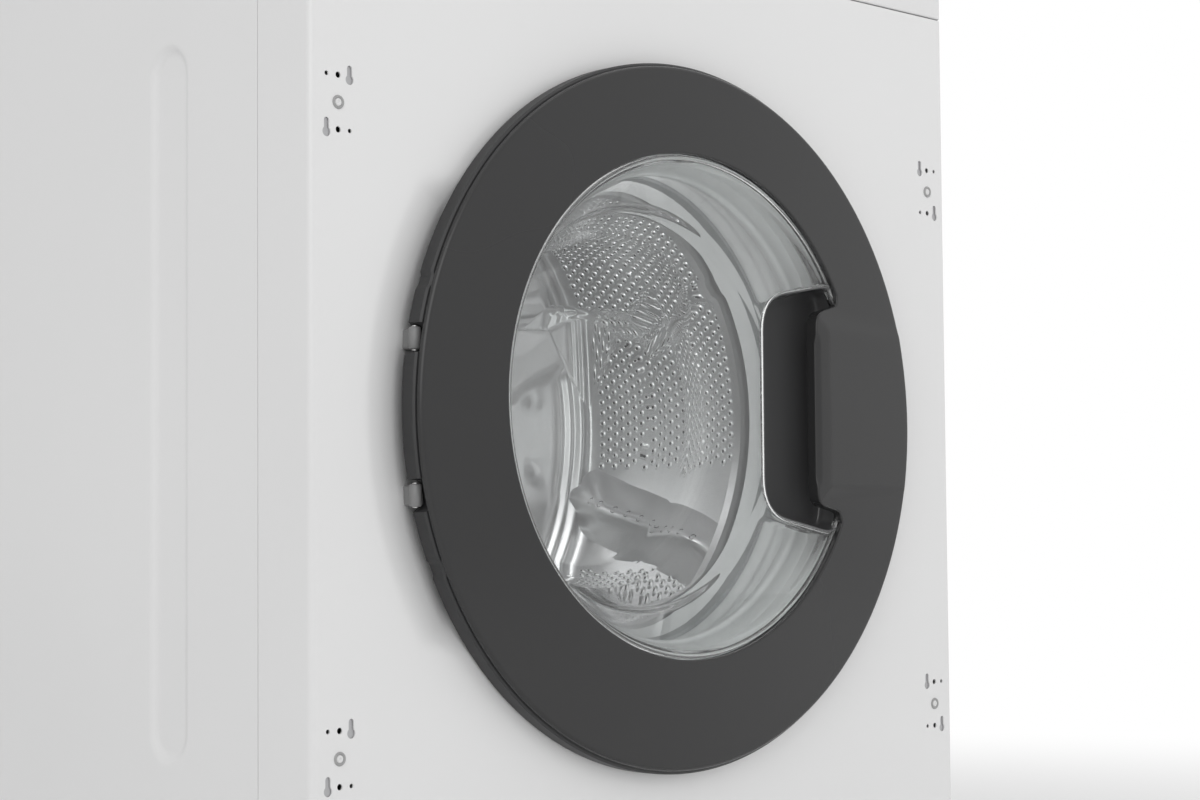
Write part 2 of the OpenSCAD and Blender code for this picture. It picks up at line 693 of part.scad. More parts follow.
module hinge_bracket() color("silver") here() for (z = hinge_knuckle_z) difference() {
    union() {
        rod_z(hinge_x, -hinge_out, z - knuckle_len / 2, z + knuckle_len / 2, knuckle_r);
        block([hinge_x - bracket_in, -hinge_out, z - knuckle_len / 2],
            [hinge_x + knuckle_r - bracket_in, recess_deep - seat_gap, z + knuckle_len / 2]);
        block([hinge_x + bracket_in, recess_deep - seat_gap - 2, z - 17],
            [hinge_x + 32, recess_deep - seat_gap, z + 17]);
    }
    rod_z(hinge_x, -hinge_out, z - 20, z + 20, hinge_pin_r + run_gap);
    for (i = [-1, 1]) rod_y(hinge_x + 22, z + i * 11, recess_deep - 5, recess_deep + 1, 2);
}
module pocket_shape(g) translate([(pocket_x + window_r - 16) / 2, door_z]) polygon(pill(window_r - 16
    - pocket_x + 2 * g, 2 * pocket_half + 2 * g, pocket_round + g));
module door_screen() color("lightblue", 0.4) here() difference() {
    turned([[0, screen_front], [window_r + 4.5, screen_front], [window_r + 5, screen_front + 0.5],
        [window_r + 5, screen_back], [0, screen_back]]);
    plate_y(screen_front - 1, screen_back + 1) pocket_shape(seat_gap);
}
module handle_pocket() color("#303030", 0.7) here() difference() {
    plate_y(screen_front - 0.4, screen_front + pocket_deep) pocket_shape(0);
    plate_y(screen_front - 1, screen_front + pocket_deep - 2) pocket_shape(-2);
}
module door_glass() color("lightcyan", 0.4) here() {
    difference() {
        turned([[0, bowl_deep - glass_t - 12], [70, bowl_deep - glass_t - 6], [bowl_bottom_r - glass_t - 6,
            bowl_deep - glass_t - 4], [bowl_bottom_r - glass_t + 1, bowl_deep - glass_t - 12],
            [bowl_r - glass_t, bowl_shoulder + 3], [bowl_r - glass_t + 2, bowl_shoulder - 3],
            [bowl_neck_r - glass_t, bowl_flange_front + 3], [bowl_neck_r - glass_t + 4, bowl_flange_front],
            [bowl_flange_r, bowl_flange_front], [bowl_flange_r, bowl_flange_front + glass_t],
            [bowl_neck_r + 2, bowl_flange_front + glass_t], [bowl_r + 1, bowl_shoulder - 2],
            [bowl_r, bowl_shoulder + 2], [bowl_bottom_r + 1, bowl_deep - 10], [bowl_bottom_r - 6,
                bowl_deep - 2],
            [bowl_bottom_r - 14, bowl_deep], [70, bowl_deep - 1], [0, bowl_deep - 7]]);
        plate_y(screen_front, screen_front + pocket_deep + 1.5) pocket_shape(1.5);
    }
    intersection() {
        difference() {
            plate_y(bowl_flange_front + glass_t - 1, screen_front + pocket_deep + 1.5 + glass_t)
                pocket_shape(1.5 + glass_t);
            plate_y(screen_front - 5, screen_front + pocket_deep + 1.5) pocket_shape(1.5);
        }
        turned([[0, bowl_flange_front], [bowl_neck_r + 3, bowl_flange_front + glass_t - 1],
            [bowl_r + 2, bowl_shoulder - 2], [bowl_r, bowl_shoulder + 12], [0, bowl_shoulder + 12]]);
        block([70, -30, door_z - 140], [180, 40, door_z + 140]);
    }
}
module latch_hook() color("silver") here() difference() {
    translate([0, 0, latch_z - 6.8]) linear_extrude(13.6) translate([latch_x, 0]) polygon(concat(
        arc(0, -7, 4.5, 180, 360, 6), [[4.5, 2], [3.5, 14], [8, 15.5], [8.5, 18], [3, 24], [-1, 24],
            [-3.5, 20],
        [-4.5, 2]]));
    rod_z(latch_x, -7, latch_z - 10, latch_z + 10, 2 + run_gap);
}
module door_lock() color("dimgray") here() {
    z = latch_z;
    difference() {
        union() {
            block([latch_x - lock_left, sheet + seat_gap, z - 34], [latch_x + lock_right, 32, z + 44]);
            for (i = [-1, 1]) block([latch_x - lock_left, sheet + seat_gap, z + 5 + i * 42 - 9],
                [latch_x + 10, 5,
                z + 5 + i * 42 + 9]);
        }
        block([latch_x - slot_left, 0, z - slot_h / 2], [latch_x + slot_right, 29, z + slot_h / 2]);
    }
}

// Seal between the front panel and the tub

module door_seal() color("gray") here() turned(ribbon([[mouth_r + sheet + seat_gap + seal_t / 2, 4],
    [mouth_r + sheet + seat_gap + seal_t / 2, lip_len + seat_gap + seal_t / 2],
    [mouth_r - 6, lip_len + 3.5], [157, 11], [161, 22], [183, 30], [164, 39], [183, 48],
    [tub_neck_r + 3 + seat_gap + seal_t / 2, 56], [tub_neck_r + 3 + seat_gap + seal_t / 2, 73]], seal_t));
module seal_clamp_ring() color("silver") here() {
    r = tub_neck_r + 3 + 2 * seat_gap + seal_t;
    turned([[r, 62], [r + 2, 61], [r + 3, 64], [r + 2, 67], [r, 66]]);
    block([-6, 61, door_z - r - 9], [6, 67, door_z - r - 1]);
}

// Tub in two halves

module tub_front() color("lightgray") here() difference() {
    union() {
        turned([[tub_neck_r, tub_neck_front], [tub_neck_r + 3, tub_neck_front],
            [tub_neck_r + 3, tub_front_y], [tub_r - 10, tub_front_y], [tub_r, tub_front_y + 10],
            [tub_r, tub_split - 6], [tub_r + 6, tub_split - 6], [tub_r + 6, tub_split],
            [tub_r - tub_t, tub_split], [tub_r - tub_t, tub_front_y + 12], [tub_r - 12,
                tub_front_y + tub_t],
            [tub_neck_r, tub_front_y + tub_t]]);
        for (i = [0:23]) translate([0, 0, door_z]) rotate([0, 15 * i, 0])
            block([tub_r - 2, tub_front_y + 12, -1.2], [tub_r + 5.5, tub_split - 5, 1.2]);
        rod_z(sump_x, sump_y, sump_z + 34, 160, sump_r - seal_t - seat_gap);
    }
    rod_y(0, door_z, tub_front_y + 13, tub_split + 1, tub_r - tub_t);
    rod_z(sump_x, sump_y, 90, 170, sump_r - 6);
    for (s = [-1, 1]) rod_y(s * 25, door_z - 246.7, tub_front_y - 5, tub_front_y + 10, 4.4);
}
module tub_rear() color("lightgray") here() difference() {
    union() {
        turned([[bearing_r + run_gap, drum_back + 24], [hub_r, drum_back + 24], [hub_r, tub_back - tub_t],
            [tub_r - 12, tub_back - tub_t], [tub_r - tub_t, tub_back - 12], [tub_r - tub_t,
                tub_split + seat_gap],
            [tub_r + 6, tub_split + seat_gap], [tub_r + 6, tub_split + 6], [tub_r, tub_split + 6],
            [tub_r, tub_back - 10], [tub_r - 10, tub_back], [hub_r + 8, tub_back], [hub_r, hub_end],
            [bearing_r + run_gap, hub_end]]);
        for (i = [0:11]) translate([0, 0, door_z]) rotate([0, 30 * i, 0]) translate([0, 0, -1.5])
            linear_extrude(3) polygon([[hub_r - 2, tub_back - 1], [rib_end_r, tub_back - 1],
            [rib_end_r, tub_back + 3], [hub_r - 2, hub_end - 8]]);
        for (s = [-1, 1]) block([s > 0 ? 195 : -spring_x - spring_r, spring_y - 16, spring_shelf_z - 5],
            [s > 0 ? spring_x + spring_r : -195, spring_y + 16, spring_shelf_z]);
    }
    rod_y(0, door_z, tub_split + 1, tub_back - 14, tub_r - tub_t);
    rod_y(0, door_z, drum_back + 20, hub_end + 5, bearing_r + run_gap);
}
module front_counterweight() color("darkgray") here() difference() {
    turned([[196, 42], [250, 42], [256, 48], [256, tub_front_y - seat_gap], [196, tub_front_y - seat_gap]]);
    block([-120, 30, door_z - 290], [120, 90, door_z - 150]);
    for (a = [45, 135, 200, 340]) rod_y(226 * cos(a), door_z + 226 * sin(a), 41, 55, 8);
}
module top_counterweight() color("darkgray") here() difference() {
    block([-112, 110, 630], [30, 330, 712]);
    rod_y(0, door_z, 80, 350, tub_r + 6 + seat_gap);
    translate([-41, 220, 712]) rotate([0, 45, 0]) cube([30, 240, 6], center = true);
    for (y = [140, 300]) rod_z(-41, y, 600, 720, 6);
}
module coil(r, wire, z0, z1) {
    count = floor((z1 - z0) / (2 * wire));
    pitch = (z1 - z0) / count;
    rotate_extrude() polygon(concat([[0, 0]], [for (i = [0:count - 1], p = arc(r - wire, (i + 0.5)
        * pitch, pitch
        / 2 - eps, -90, 90, 4)) p], [[0, z1 - z0]]));
}
module suspension_springs() color("silver") here() for (s = [-1, 1])
    translate([s * (spring_x - 2), spring_y, spring_shelf_z + seat_gap])
        coil(spring_r - 2, spring_wire, 0, spring_top_z - spring_shelf_z - 2 * seat_gap);

// Dampers lean from the base to the tub
function damper_places() = [[1, damper_y[0]], [-1, damper_y[1]], [-1, damper_y[2]]];
function damper_top() = (tub_r + 6 + seat_gap + damper_eye_r) * [cos(damper_angle), -sin(damper_angle)]
    + [0, door_z];
function damper_len() = norm(damper_top() - [damper_foot_x, damper_foot_z]);
function damper_lean() = atan2(damper_foot_x - damper_top()[0], damper_top()[1] - damper_foot_z);
module damper_frame(s) translate([s[0] * damper_foot_x, s[1], damper_foot_z]) rotate([0,
    -s[0] * damper_lean(), 0])
    children();
module damper_seat(s, z0) for (i = [-1, 1]) block([s[0] * damper_foot_x - 12, s[1] + i * 14 - 2, z0],
    [s[0] * damper_foot_x + 12, s[1] + i * 14 + 2, damper_foot_z + 12]);
module damper_tubes() color("gray") here() for (s = damper_places()) damper_frame(s) difference() {
    union() {
        rotate([90, 0, 0]) cylinder(h = 23.4, r = damper_eye_r - 1, center = true);
        cylinder(h = damper_len() * 0.6, r = 12);
    }
    translate([0, 0, 20]) cylinder(h = damper_len(), r = 8 + seat_gap);
}
module damper_rods() color("silver") here() for (s = damper_places()) damper_frame(s) {
    translate([0, 0, 22]) cylinder(h = damper_len() - 22, r = 8);
    translate([0, 0, damper_len()]) rotate([90, 0, 0]) cylinder(h = 24, r = damper_eye_r, center = true);
}

// Heater, bearings, shaft and drive

module heating_element() color("silver") here() {
    z = door_z - 246.7;
    for (s = [-1, 1]) rod_y(s * 25, z, tub_front_y - 20, 300, 4);
    translate([0, 300, z]) rotate_extrude(angle = 180) translate([25, 0]) circle(r = 4);
    block([-34, tub_front_y - 8, z - 10], [34, tub_front_y - seat_gap, z + 10]);
}
module drum_bearings() color("silver") here() for (y = [tub_back - 7, hub_end - bearing_t - 1])
    turned([[shaft_r + run_gap, y], [shaft_r + 5, y], [shaft_r + 6, y + 1], [bearing_r - 5, y + 1],
        [bearing_r - 4, y], [bearing_r, y], [bearing_r, y + bearing_t], [bearing_r - 4, y + bearing_t],
        [bearing_r - 5, y + bearing_t - 1], [shaft_r + 6, y + bearing_t - 1], [shaft_r + 5, y + bearing_t],
        [shaft_r + run_gap, y + bearing_t]]);
module drum_shell() color("silver") here() turned(ribbon(concat([[drum_mouth, drum_front + 8],
    [drum_mouth + 1, drum_front + 2], [drum_mouth + 5, drum_front]],
    arc(drum_r - 10.5, drum_front + 10, 10, -90, 0, 4),
    arc(drum_r - 8.5, drum_back - 8, 8, 0, 90, 4), [[110, drum_back], [96, drum_back - 10],
    [60, drum_back - 10], [1, drum_back - 10]]), drum_t));
module drum_lifters() color("gainsboro") here() for (i = [0:2]) translate([0, 0, door_z])
    rotate([0, 120 * i + lifter_turn, 0]) difference() {
        intersection() {
            translate([0, drum_front + 30, 0]) rotate([-90, 0, 0]) linear_extrude(drum_len - 50)
                polygon(concat([[-38, drum_r + 5], [-34, drum_r - 10]], arc(0, drum_r - lifter_h + 10,
                    12, 200,
                340, 8), [[34, drum_r - 10], [38, drum_r + 5]]));
            rotate([-90, 0, 0]) cylinder(h = drum_back, r = drum_r - drum_t - 0.2);
            translate([-60, 0, -drum_r - 10]) rotate([90, 0, 90]) linear_extrude(120) polygon([
                [drum_front + 30, 0], [drum_back - 20, 0], [drum_back - 20, lifter_h + 20],
                [drum_front + 60, lifter_h + 20], [drum_front + 30, 40]]);
        }
        for (k = [0:6]) translate([0, drum_front + 75 + 28 * k, -drum_r + 28]) rotate([0, 90, 0])
            cylinder(h = 100, r = 4, center = true);
    }
module drum_spider() color("darkgray") here() {
    y0 = drum_back + drum_t / 2 + seat_gap;
    difference() {
        union() {
            for (i = [0:2]) translate([0, 0, door_z]) rotate([0, 120 * i + 60, 0]) plate_y(y0, y0 + 14)
                polygon([[-26, 20], [-13, drum_r - 22], [-20, drum_r - 8], [20, drum_r - 8], [13,
                    drum_r - 22],
                [26, 20]]);
            turned([[0, y0 - 9], [52, y0 - 9], [52, y0], [58, y0], [58, y0 + 14], [30, y0 + 20], [0,
                y0 + 20]]);
        }
        for (i = [0:2]) translate([0, 0, door_z]) rotate([0, 120 * i + 60, 0]) plate_y(y0 + 5, y0 + 15)
            polygon([[-16, 66], [-8, drum_r - 32], [8, drum_r - 32], [16, 66]]);
    }
    turned([[0, y0 + 10], [shaft_r, y0 + 10], [shaft_r, pulley_y + pulley_t], [shaft_r - 1,
        pulley_y + pulley_t
        + 1], [0, pulley_y + pulley_t + 1]]);
}
// Rim outline with the belt's long grooves
function groove_rim(r, y0, w, n) = [for (i = [0:2 * n]) [r - (i % 2 == 1 ? 1.4 : 0), y0 + w * i / (2 * n)]];
module drum_pulley() color("lightgray") here() {
    turned(concat([[pulley_r - 6, pulley_y]], groove_rim(pulley_r, pulley_y, pulley_t, 7),
        [[pulley_r - 6, pulley_y + pulley_t]]));
    difference() {
        union() {
            turned([[shaft_r + run_gap, pulley_y - 2], [pulley_hub_r, pulley_y - 2], [pulley_hub_r,
                pulley_y + pulley_t], [shaft_r + run_gap, pulley_y + pulley_t]]);
            for (i = [0:5]) translate([0, 0, door_z]) rotate([0, 60 * i, 0]) plate_y(pulley_y + 6,
                pulley_y + 14)
                polygon([[-13, pulley_hub_r - 4], [-8, pulley_r - 4], [8, pulley_r - 4], [13,
                    pulley_hub_r - 4]]);
        }
        rod_y(0, door_z, pulley_y - 10, pulley_y + 40, shaft_r + run_gap);
    }
}
module motor_pulley() color("silver") here() {
    turned(concat([[4, pulley_y]], groove_rim(motor_pulley_r, pulley_y, pulley_t, 7), [[4, pulley_y
        + pulley_t]]), motor_z, motor_x);
    rod_y(motor_x, motor_z, motor_back - 30, pulley_y + pulley_t, 5);
}
module belt_loop(g) hull() {
    translate([0, door_z]) circle(r = pulley_r + g);
    translate([-motor_x, motor_z]) circle(r = motor_pulley_r + g);
}
module drive_belt() color("#202020") here() mirror([1, 0, 0]) plate_y(pulley_y + 2, pulley_y + 2 + belt_w)
    difference() {
        belt_loop(seat_gap + 2.6);
        belt_loop(seat_gap);
    }
module motor_body() color("dimgray") here() difference() {
    union() {
        turned([[0, motor_front], [motor_r - 8, motor_front], [motor_r - 4, motor_front + 6], [motor_r - 4,
            motor_front + 34], [motor_r, motor_front + 36], [motor_r, motor_back - 46], [motor_r - 4,
            motor_back - 44], [motor_r - 4, motor_back - 8], [motor_r - 16, motor_back], [0, motor_back]],
            motor_z, motor_x);
        translate([motor_x, 0, motor_z]) rotate([0, -atan(motor_x / (door_z - motor_z)), 0])
            for (y = [motor_front + 14, motor_back - 34]) block([-30, y, 20], [30, y + 14, 80]);
    }
    rod_y(0, door_z, motor_front - 5, motor_back + 5, tub_r + seat_gap);
    rod_y(motor_x, motor_z, motor_back - 32, motor_back + 5, 5 + run_gap);
    for (i = [0:11]) translate([motor_x, 0, motor_z]) rotate([0, 30 * i, 0]) block([18, motor_back - 6, -3],
        [36, motor_back + 3, 3]);
}

// Pump, filter and hoses

module pump_body() color("gray") here() {
    difference() {
        union() {
            turned([[0, pump_front + 10], [filter_r + pump_wall, pump_front + 10], [filter_r + pump_wall,
                pump_chamber_end], [26, pump_chamber_end], [26, 196], [22, 200], [0, 200]], filter_z,
                    filter_x);
            block([sump_x - sump_r, 138, base_z + 14], [sump_x + sump_r + 2, sump_y + sump_r + 2,
                sump_z - 8]);
            block([sump_x + 4, 130, base_z + 16], [filter_x - 20, 160, base_z + 50]);
            rod_z(sump_x, sump_y, sump_z - 10, sump_z + 6, sump_r - seal_t - seat_gap);
        }
        rod_y(filter_x, filter_z, pump_front, pump_chamber_end - 8, filter_r);
    }
}
module filter_cap() color("darkgray") here() {
    turned([[0, pump_front + 4], [filter_r - 3, pump_front + 4], [filter_r - 2, pump_front + 5],
        [filter_r - 2, pump_front + 14], [filter_r - run_gap, pump_front + 14], [filter_r - run_gap,
            pump_front
        + 20], [filter_r - 6, pump_front + 20], [filter_r - 6, pump_front + 70], [filter_r - 9,
            pump_front + 70],
        [filter_r - 9, pump_front + 22], [0, pump_front + 22]], filter_z, filter_x);
    block([filter_x - 22, pump_front - 3, filter_z - 3], [filter_x + 22, pump_front + 5, filter_z + 3]);
}
module sump_hose() color("#303030") here() translate([sump_x, sump_y, 0]) rotate_extrude() polygon(concat(
    [for (i = [0:8]) [sump_r + (i % 2 == 0 ? 0 : 4), sump_z - 7.7 + i * hose_pitch]],
    [for (i = [8:-1:0]) [sump_r - seal_t + (i % 2 == 0 ? 0 : 4), sump_z - 7.7 + i * hose_pitch]]));
module drain_outlet() color("gray") here() {
    x0 = filter_x + filter_r + pump_wall + seat_gap;
    y = 150;
    pipe_r = 9;
    translate([x0, y, filter_z]) rotate([0, 90, 0]) cylinder(h = drain_x - x0, r = pipe_r);
    for (z = [filter_z, drain_z]) translate([drain_x, y, z]) sphere(r = pipe_r);
    rod_z(drain_x, y, filter_z, drain_z, pipe_r);
    rod_y(drain_x, drain_z, y, cab_d + 4, pipe_r);
    turned([[5, cab_d - 4], [13.5, cab_d - 4], [13.5, cab_d + 3], [11, cab_d + 3], [11, cab_d + rear_out],
        [7, cab_d + rear_out], [7, cab_d], [5, cab_d]], drain_z, drain_x);
}
module inlet_valve() color("white") here() {
    difference() {
        union() {
            turned([[0, 470], [12, 470], [12, cab_d - 3], [14, cab_d - 3], [14, cab_d + 3], [13.2,
                cab_d + 3],
                [13.2, cab_d + rear_out], [0, cab_d + rear_out]], water_z, water_x);
            rod_z(water_x, 482, water_z - 10, water_z + 36, 10);
            rod_y(water_x, water_z, 460, 472, 5.5);
        }
        rod_y(water_x, water_z, cab_d + 4, cab_d + rear_out + 1, 8);
    }
}
module fill_hose() color("dimgray") here() difference() {
    rod_y(water_x, water_z, 12 + drawer_len + 18.3, 469.7, 8);
    rod_y(water_x, water_z, 0, 480, 5.8);
}
module cable_gland() color("#303030") here() difference() {
    turned([[0, cab_d - 8], [11.7, cab_d - 8], [11.7, cab_d + sheet], [15, cab_d + sheet], [14, cab_d + 5],
        [8, cab_d + 8], [7, cab_d + 14], [0, cab_d + 14]], water_z, cable_x);
    rod_y(cable_x, water_z, cab_d - 9, cab_d + 20, 4);
}

// Dryer: warm air duct, fan and condenser

module dryer_duct() color("silver") here() {
    difference() {
        union() {
            translate([duct_x - duct_w / 2, 0, duct_z]) translate([0, 90, 0]) cube([duct_w, 310, duct_h]);
            rod_z(fan_x, fan_y, duct_z, duct_z + duct_h, fan_house_r);
            rod_z(fan_x, fan_y, duct_z + duct_h - 1, duct_z + duct_h + 36, 30);
            translate([duct_x - 40, 60, duct_z]) cube([80, 34, duct_h - 20]);
        }
        translate([duct_x - duct_w / 2 + duct_t, 97, duct_z + duct_t]) cube([duct_w - 2 * duct_t, 300,
            duct_h
            - 2 * duct_t]);
        translate([duct_x - 37, 63, duct_z + duct_t]) cube([74, 40, duct_h - 20 - 2 * duct_t]);
        translate([duct_x - 30, 63, duct_z - 1]) cube([60, 26, 10]);
        rod_z(fan_x, fan_y, duct_z + duct_t, duct_z + duct_h - duct_t, fan_house_r - duct_t);
        rod_z(fan_x, fan_y, duct_z + duct_h - 4, duct_z + duct_h + 24, 3 + run_gap);
        rod_z(fan_x, fan_y, duct_z - 1, duct_z + duct_t + 1, 36);
        rod_y(0, door_z, 50, 500, tub_r + 6 + seat_gap);
    }
}
module fan_impeller() color("lightgray") here() translate([fan_x, fan_y, duct_z + duct_t + 5]) {
    difference() {
        union() {
            cylinder(h = 3, r = fan_r);
            cylinder(h = 40, r = 10);
        }
        translate([0, 0, -1]) cylinder(h = 5, r = 4);
    }
    for (i = [0:blade_count - 1]) rotate([0, 0, 360 / blade_count * i]) translate([fan_r - 16,
        -blade_t / 2, 2])
        rotate([0, 0, 25]) cube([15, blade_t, 46]);
    translate([0, 0, 39]) cylinder(h = 50, r = 3);
}
module condenser_duct() color("lightgray") here() difference() {
    union() {
        translate([condenser_x, tub_back + seat_gap, condenser_z]) cube([condenser_w, 62, condenser_top
            - condenser_z]);
        translate([fan_x - 2, fan_y + 42, condenser_top - 20]) cylinder(h = 23.7, r = 36);
        for (i = [0:9]) translate([condenser_x - 3, tub_back + seat_gap + 1, condenser_z + 20 + 30 * i])
            cube([condenser_w + 6, 60, 4]);
    }
    translate([condenser_x + 3, tub_back + seat_gap + 3, condenser_z + 3]) cube([condenser_w - 6, 56,
        condenser_top - condenser_z - 6]);
    translate([fan_x - 2, fan_y + 42, condenser_top - 30]) cylinder(h = 60, r = 33);
}

// Screws that show, and the feet

module panel_screws() color("silver") here() {
    for (s = [-1, 1], z = hinge_hole_z) turned([[0, -1.2], [plug_r - 1, -1.2], [plug_r, -0.6], [plug_r, 0],
        [plug_r - 1.2, 0], [plug_r - 1.2, 6], [0, 6]], z, s * hinge_hole_x);
    for (s = [-1, 1], z = [120, 400, side_top - 124, side_top - 34]) turned([[0, cab_d + sheet + 2], [3, cab_d + sheet + 1.6],
        [4, cab_d + sheet], [0, cab_d + sheet]], z, s * (half_w - 9));
}
module foot(x, y) translate([x, y, 0]) {
    cylinder(h = foot_pad_h - 4, r = foot_pad_r);
    translate([0, 0, foot_pad_h - 4]) cylinder(h = 4, r1 = foot_pad_r, r2 = 10);
    translate([0, 0, foot_pad_h - 1]) cylinder(h = 5, r = 9, $fn = 6);
    cylinder(h = foot_stud_top, r = foot_stud_r);
}
module front_left_foot() color("dimgray") here() foot(-foot_x, foot_y[0]);
module front_right_foot() color("dimgray") here() foot(foot_x, foot_y[0]);
module rear_left_foot() color("dimgray") here() foot(-foot_x, foot_y[1]);
module rear_right_foot() color("dimgray") here() foot(foot_x, foot_y[1]);

left_side_panel();
right_side_panel();
rear_panel();
top_cover();
base_tray();
front_panel();
control_fascia();
display_window();
plinth_panel();
door_seal();
seal_clamp_ring();
tub_front();
tub_rear();
front_counterweight();
top_counterweight();
suspension_springs();
damper_tubes();
damper_rods();
heating_element();
drum_bearings();
motor_body();
pump_body();
sump_hose();
drain_outlet();
inlet_valve();
fill_hose();
dispenser_housing();
dryer_duct();
condenser_duct();
door_lock();
control_board();
hinge_bracket();
panel_screws();
drive_belt();
cable_gland();
drum_shell();
drum_lifters();
drum_spider();
drum_pulley();
motor_pulley();
door_ring();
door_back_frame();
door_screen();
door_glass();
handle_pocket();
hinge_pins();
latch_hook();
drawer_tray();
drawer_front();
program_knob();
start_button();
spin_button();
dry_button();
filter_flap();
filter_cap();
fan_impeller();
front_left_foot();
front_right_foot();
rear_left_foot();
rear_right_foot();
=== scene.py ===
"""Looks of an integrated washer dryer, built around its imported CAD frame.

Sizes are in millimetres, and y counts from the front panel's outer face towards the rear, as in the
part's own source. Form.item turns them into metres in the row's frame.
"""

from __future__ import annotations

import json
import logging
import math
from collections import Counter
from contextlib import contextmanager
from dataclasses import dataclass
from enum import Enum
from typing import Any, Callable, Iterator, Sequence

import bmesh
import bpy
import numpy as np
from mathutils import Matrix, Vector
from mathutils.geometry import delaunay_2d_cdt

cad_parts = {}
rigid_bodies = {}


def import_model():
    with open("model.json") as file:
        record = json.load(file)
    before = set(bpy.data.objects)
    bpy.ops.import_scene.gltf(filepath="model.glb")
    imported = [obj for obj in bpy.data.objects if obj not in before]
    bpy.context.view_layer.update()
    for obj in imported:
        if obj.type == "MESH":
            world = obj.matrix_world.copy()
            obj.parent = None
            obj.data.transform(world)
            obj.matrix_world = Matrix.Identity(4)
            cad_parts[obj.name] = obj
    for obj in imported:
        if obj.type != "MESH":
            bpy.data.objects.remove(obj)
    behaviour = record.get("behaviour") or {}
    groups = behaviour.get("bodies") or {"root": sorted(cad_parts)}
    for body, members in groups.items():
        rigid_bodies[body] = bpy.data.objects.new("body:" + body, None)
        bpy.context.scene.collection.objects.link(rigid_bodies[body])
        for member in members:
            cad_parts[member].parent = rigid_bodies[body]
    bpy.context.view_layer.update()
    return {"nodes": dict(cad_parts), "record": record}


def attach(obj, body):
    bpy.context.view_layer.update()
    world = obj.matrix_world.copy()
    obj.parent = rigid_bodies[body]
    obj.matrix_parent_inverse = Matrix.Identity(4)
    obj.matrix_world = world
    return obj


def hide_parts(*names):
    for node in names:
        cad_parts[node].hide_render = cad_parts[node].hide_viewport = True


LOG = logging.getLogger("washer_dryer")
METRE = 0.001
PANEL_Y = -253.0
DOOR_Z = 400.0
RING_Z = 393.0
HINGE_X = 277.0
HINGE_LEVELS = (DOOR_Z - 210, DOOR_Z + 169)
HINGE_STEP = (8.5, 16)
WHITE = (1, 1, 1, 1)
MERGE = 2e-6
SLIVER = 1e-7

Point = tuple[float, float, float]
Flat = tuple[float, float]
Loop = Sequence[Flat]
Faces = list[tuple[int, ...]]


def place(point: Sequence[float]) -> Point:
    """Turns a point of the cabinet in millimetres into the row's frame in metres."""
    return (point[0] * METRE, (point[1] + PANEL_Y) * METRE, point[2] * METRE)


def circle(count: int, shift: float = 0.0) -> list[float]:
    """Angles of equal steps round a circle."""
    return [2 * math.pi * (i + shift) / count for i in range(count)]


def arc(cx: float, cy: float, r: float, start: float, end: float, steps: int = 8) -> list[Flat]:
    """Points along a circular arc.

    Args:
        cx: Centre, first coordinate.
        cy: Centre, second coordinate.
        r: Radius.
        start: First angle in degrees.
        end: Last angle in degrees.
        steps: Number of stretches.

    Returns:
        The points, ends included.
    """
    angles = [math.radians(start + (end - start) * i / steps) for i in range(steps + 1)]
    return [(cx + r * math.cos(a), cy + r * math.sin(a)) for a in angles]


def rounded(points: Loop, radius: float, steps: int = 4, closed: bool = True) -> list[Flat]:
    """Rounds the corners of an outline.

    Args:
        points: Corner points.
        radius: Largest radius; short sides get less.
        steps: Stretches in each corner.
        closed: Whether the outline closes on itself.

    Returns:
        The rounded outline.
    """
    out: list[Flat] = []
    count = len(points)
    for i, here in enumerate(points):
        if not closed and i in (0, count - 1):
            out.append(tuple(here))
            continue
        p, a, b = Vector(here), Vector(points[i - 1]), Vector(points[(i + 1) % count])
        reach = min(radius, (a - p).length * 0.49, (b - p).length * 0.49)
        first, last = p + (a - p).normalized() * reach, p + (b - p).normalized() * reach
        for k in range(steps + 1):
            t = k / steps
            out.append(tuple(first * (1 - t) ** 2 + p * 2 * t * (1 - t) + last * t * t))
    return out


def pill(w: float, h: float, r: float, steps: int = 8) -> list[Flat]:
    """A rounded rectangle of width w and height h about its own centre, as a closed outline."""
    x, y = w / 2 - r, h / 2 - r
    return (arc(x, y, r, 0, 90, steps) + arc(-x, y, r, 90, 180, steps)
            + arc(-x, -y, r, 180, 270, steps) + arc(x, -y, r, 270, 360, steps))


def moved(loop: Loop, x: float, z: float) -> list[Flat]:
    """An outline moved by x and z."""
    return [(x + px, z + pz) for px, pz in loop]


def at_depth(loop: Loop, y: float) -> list[Point]:
    """An outline in x and z, set at depth y."""
    return [(x, y, z) for x, z in loop]


def inside(point: Sequence[float], loop: Loop) -> bool:
    """Whether a point lies inside a closed outline."""
    x, y = point
    found = False
    for i, (x1, y1) in enumerate(loop):
        x0, y0 = loop[i - 1]
        if (y1 > y) != (y0 > y) and x < (x0 - x1) * (y - y1) / (y0 - y1) + x1:
            found = not found
    return found


def filled(outline: Loop, holes: Sequence[Loop] = ()) -> tuple[list[Flat], Faces]:
    """Fills an outline with triangles, round its holes.

    Args:
        outline: The outer loop.
        holes: Loops left open.

    Returns:
        Points and triangles.
    """
    points: list[Vector] = []
    edges: list[Flat] = []
    for loop in (outline, *holes):
        base = len(points)
        points.extend(Vector(p) for p in loop)
        edges.extend((base + i, base + (i + 1) % len(loop)) for i in range(len(loop)))
    flat, _, faces, *_ = delaunay_2d_cdt(points, edges, [], 0, 1e-6)
    kept = []
    for face in faces:
        middle = sum((flat[i] for i in face), Vector((0, 0))) / len(face)
        if inside(middle, outline) and not any(inside(middle, hole) for hole in holes):
            kept.append(tuple(face))
    return [tuple(p) for p in flat], kept


def ease(value: float, low: float, high: float) -> float:
    """Smooth step of value between low and high."""
    t = min(1.0, max(0.0, (value - low) / (high - low)))
    return t * t * (3 - 2 * t)


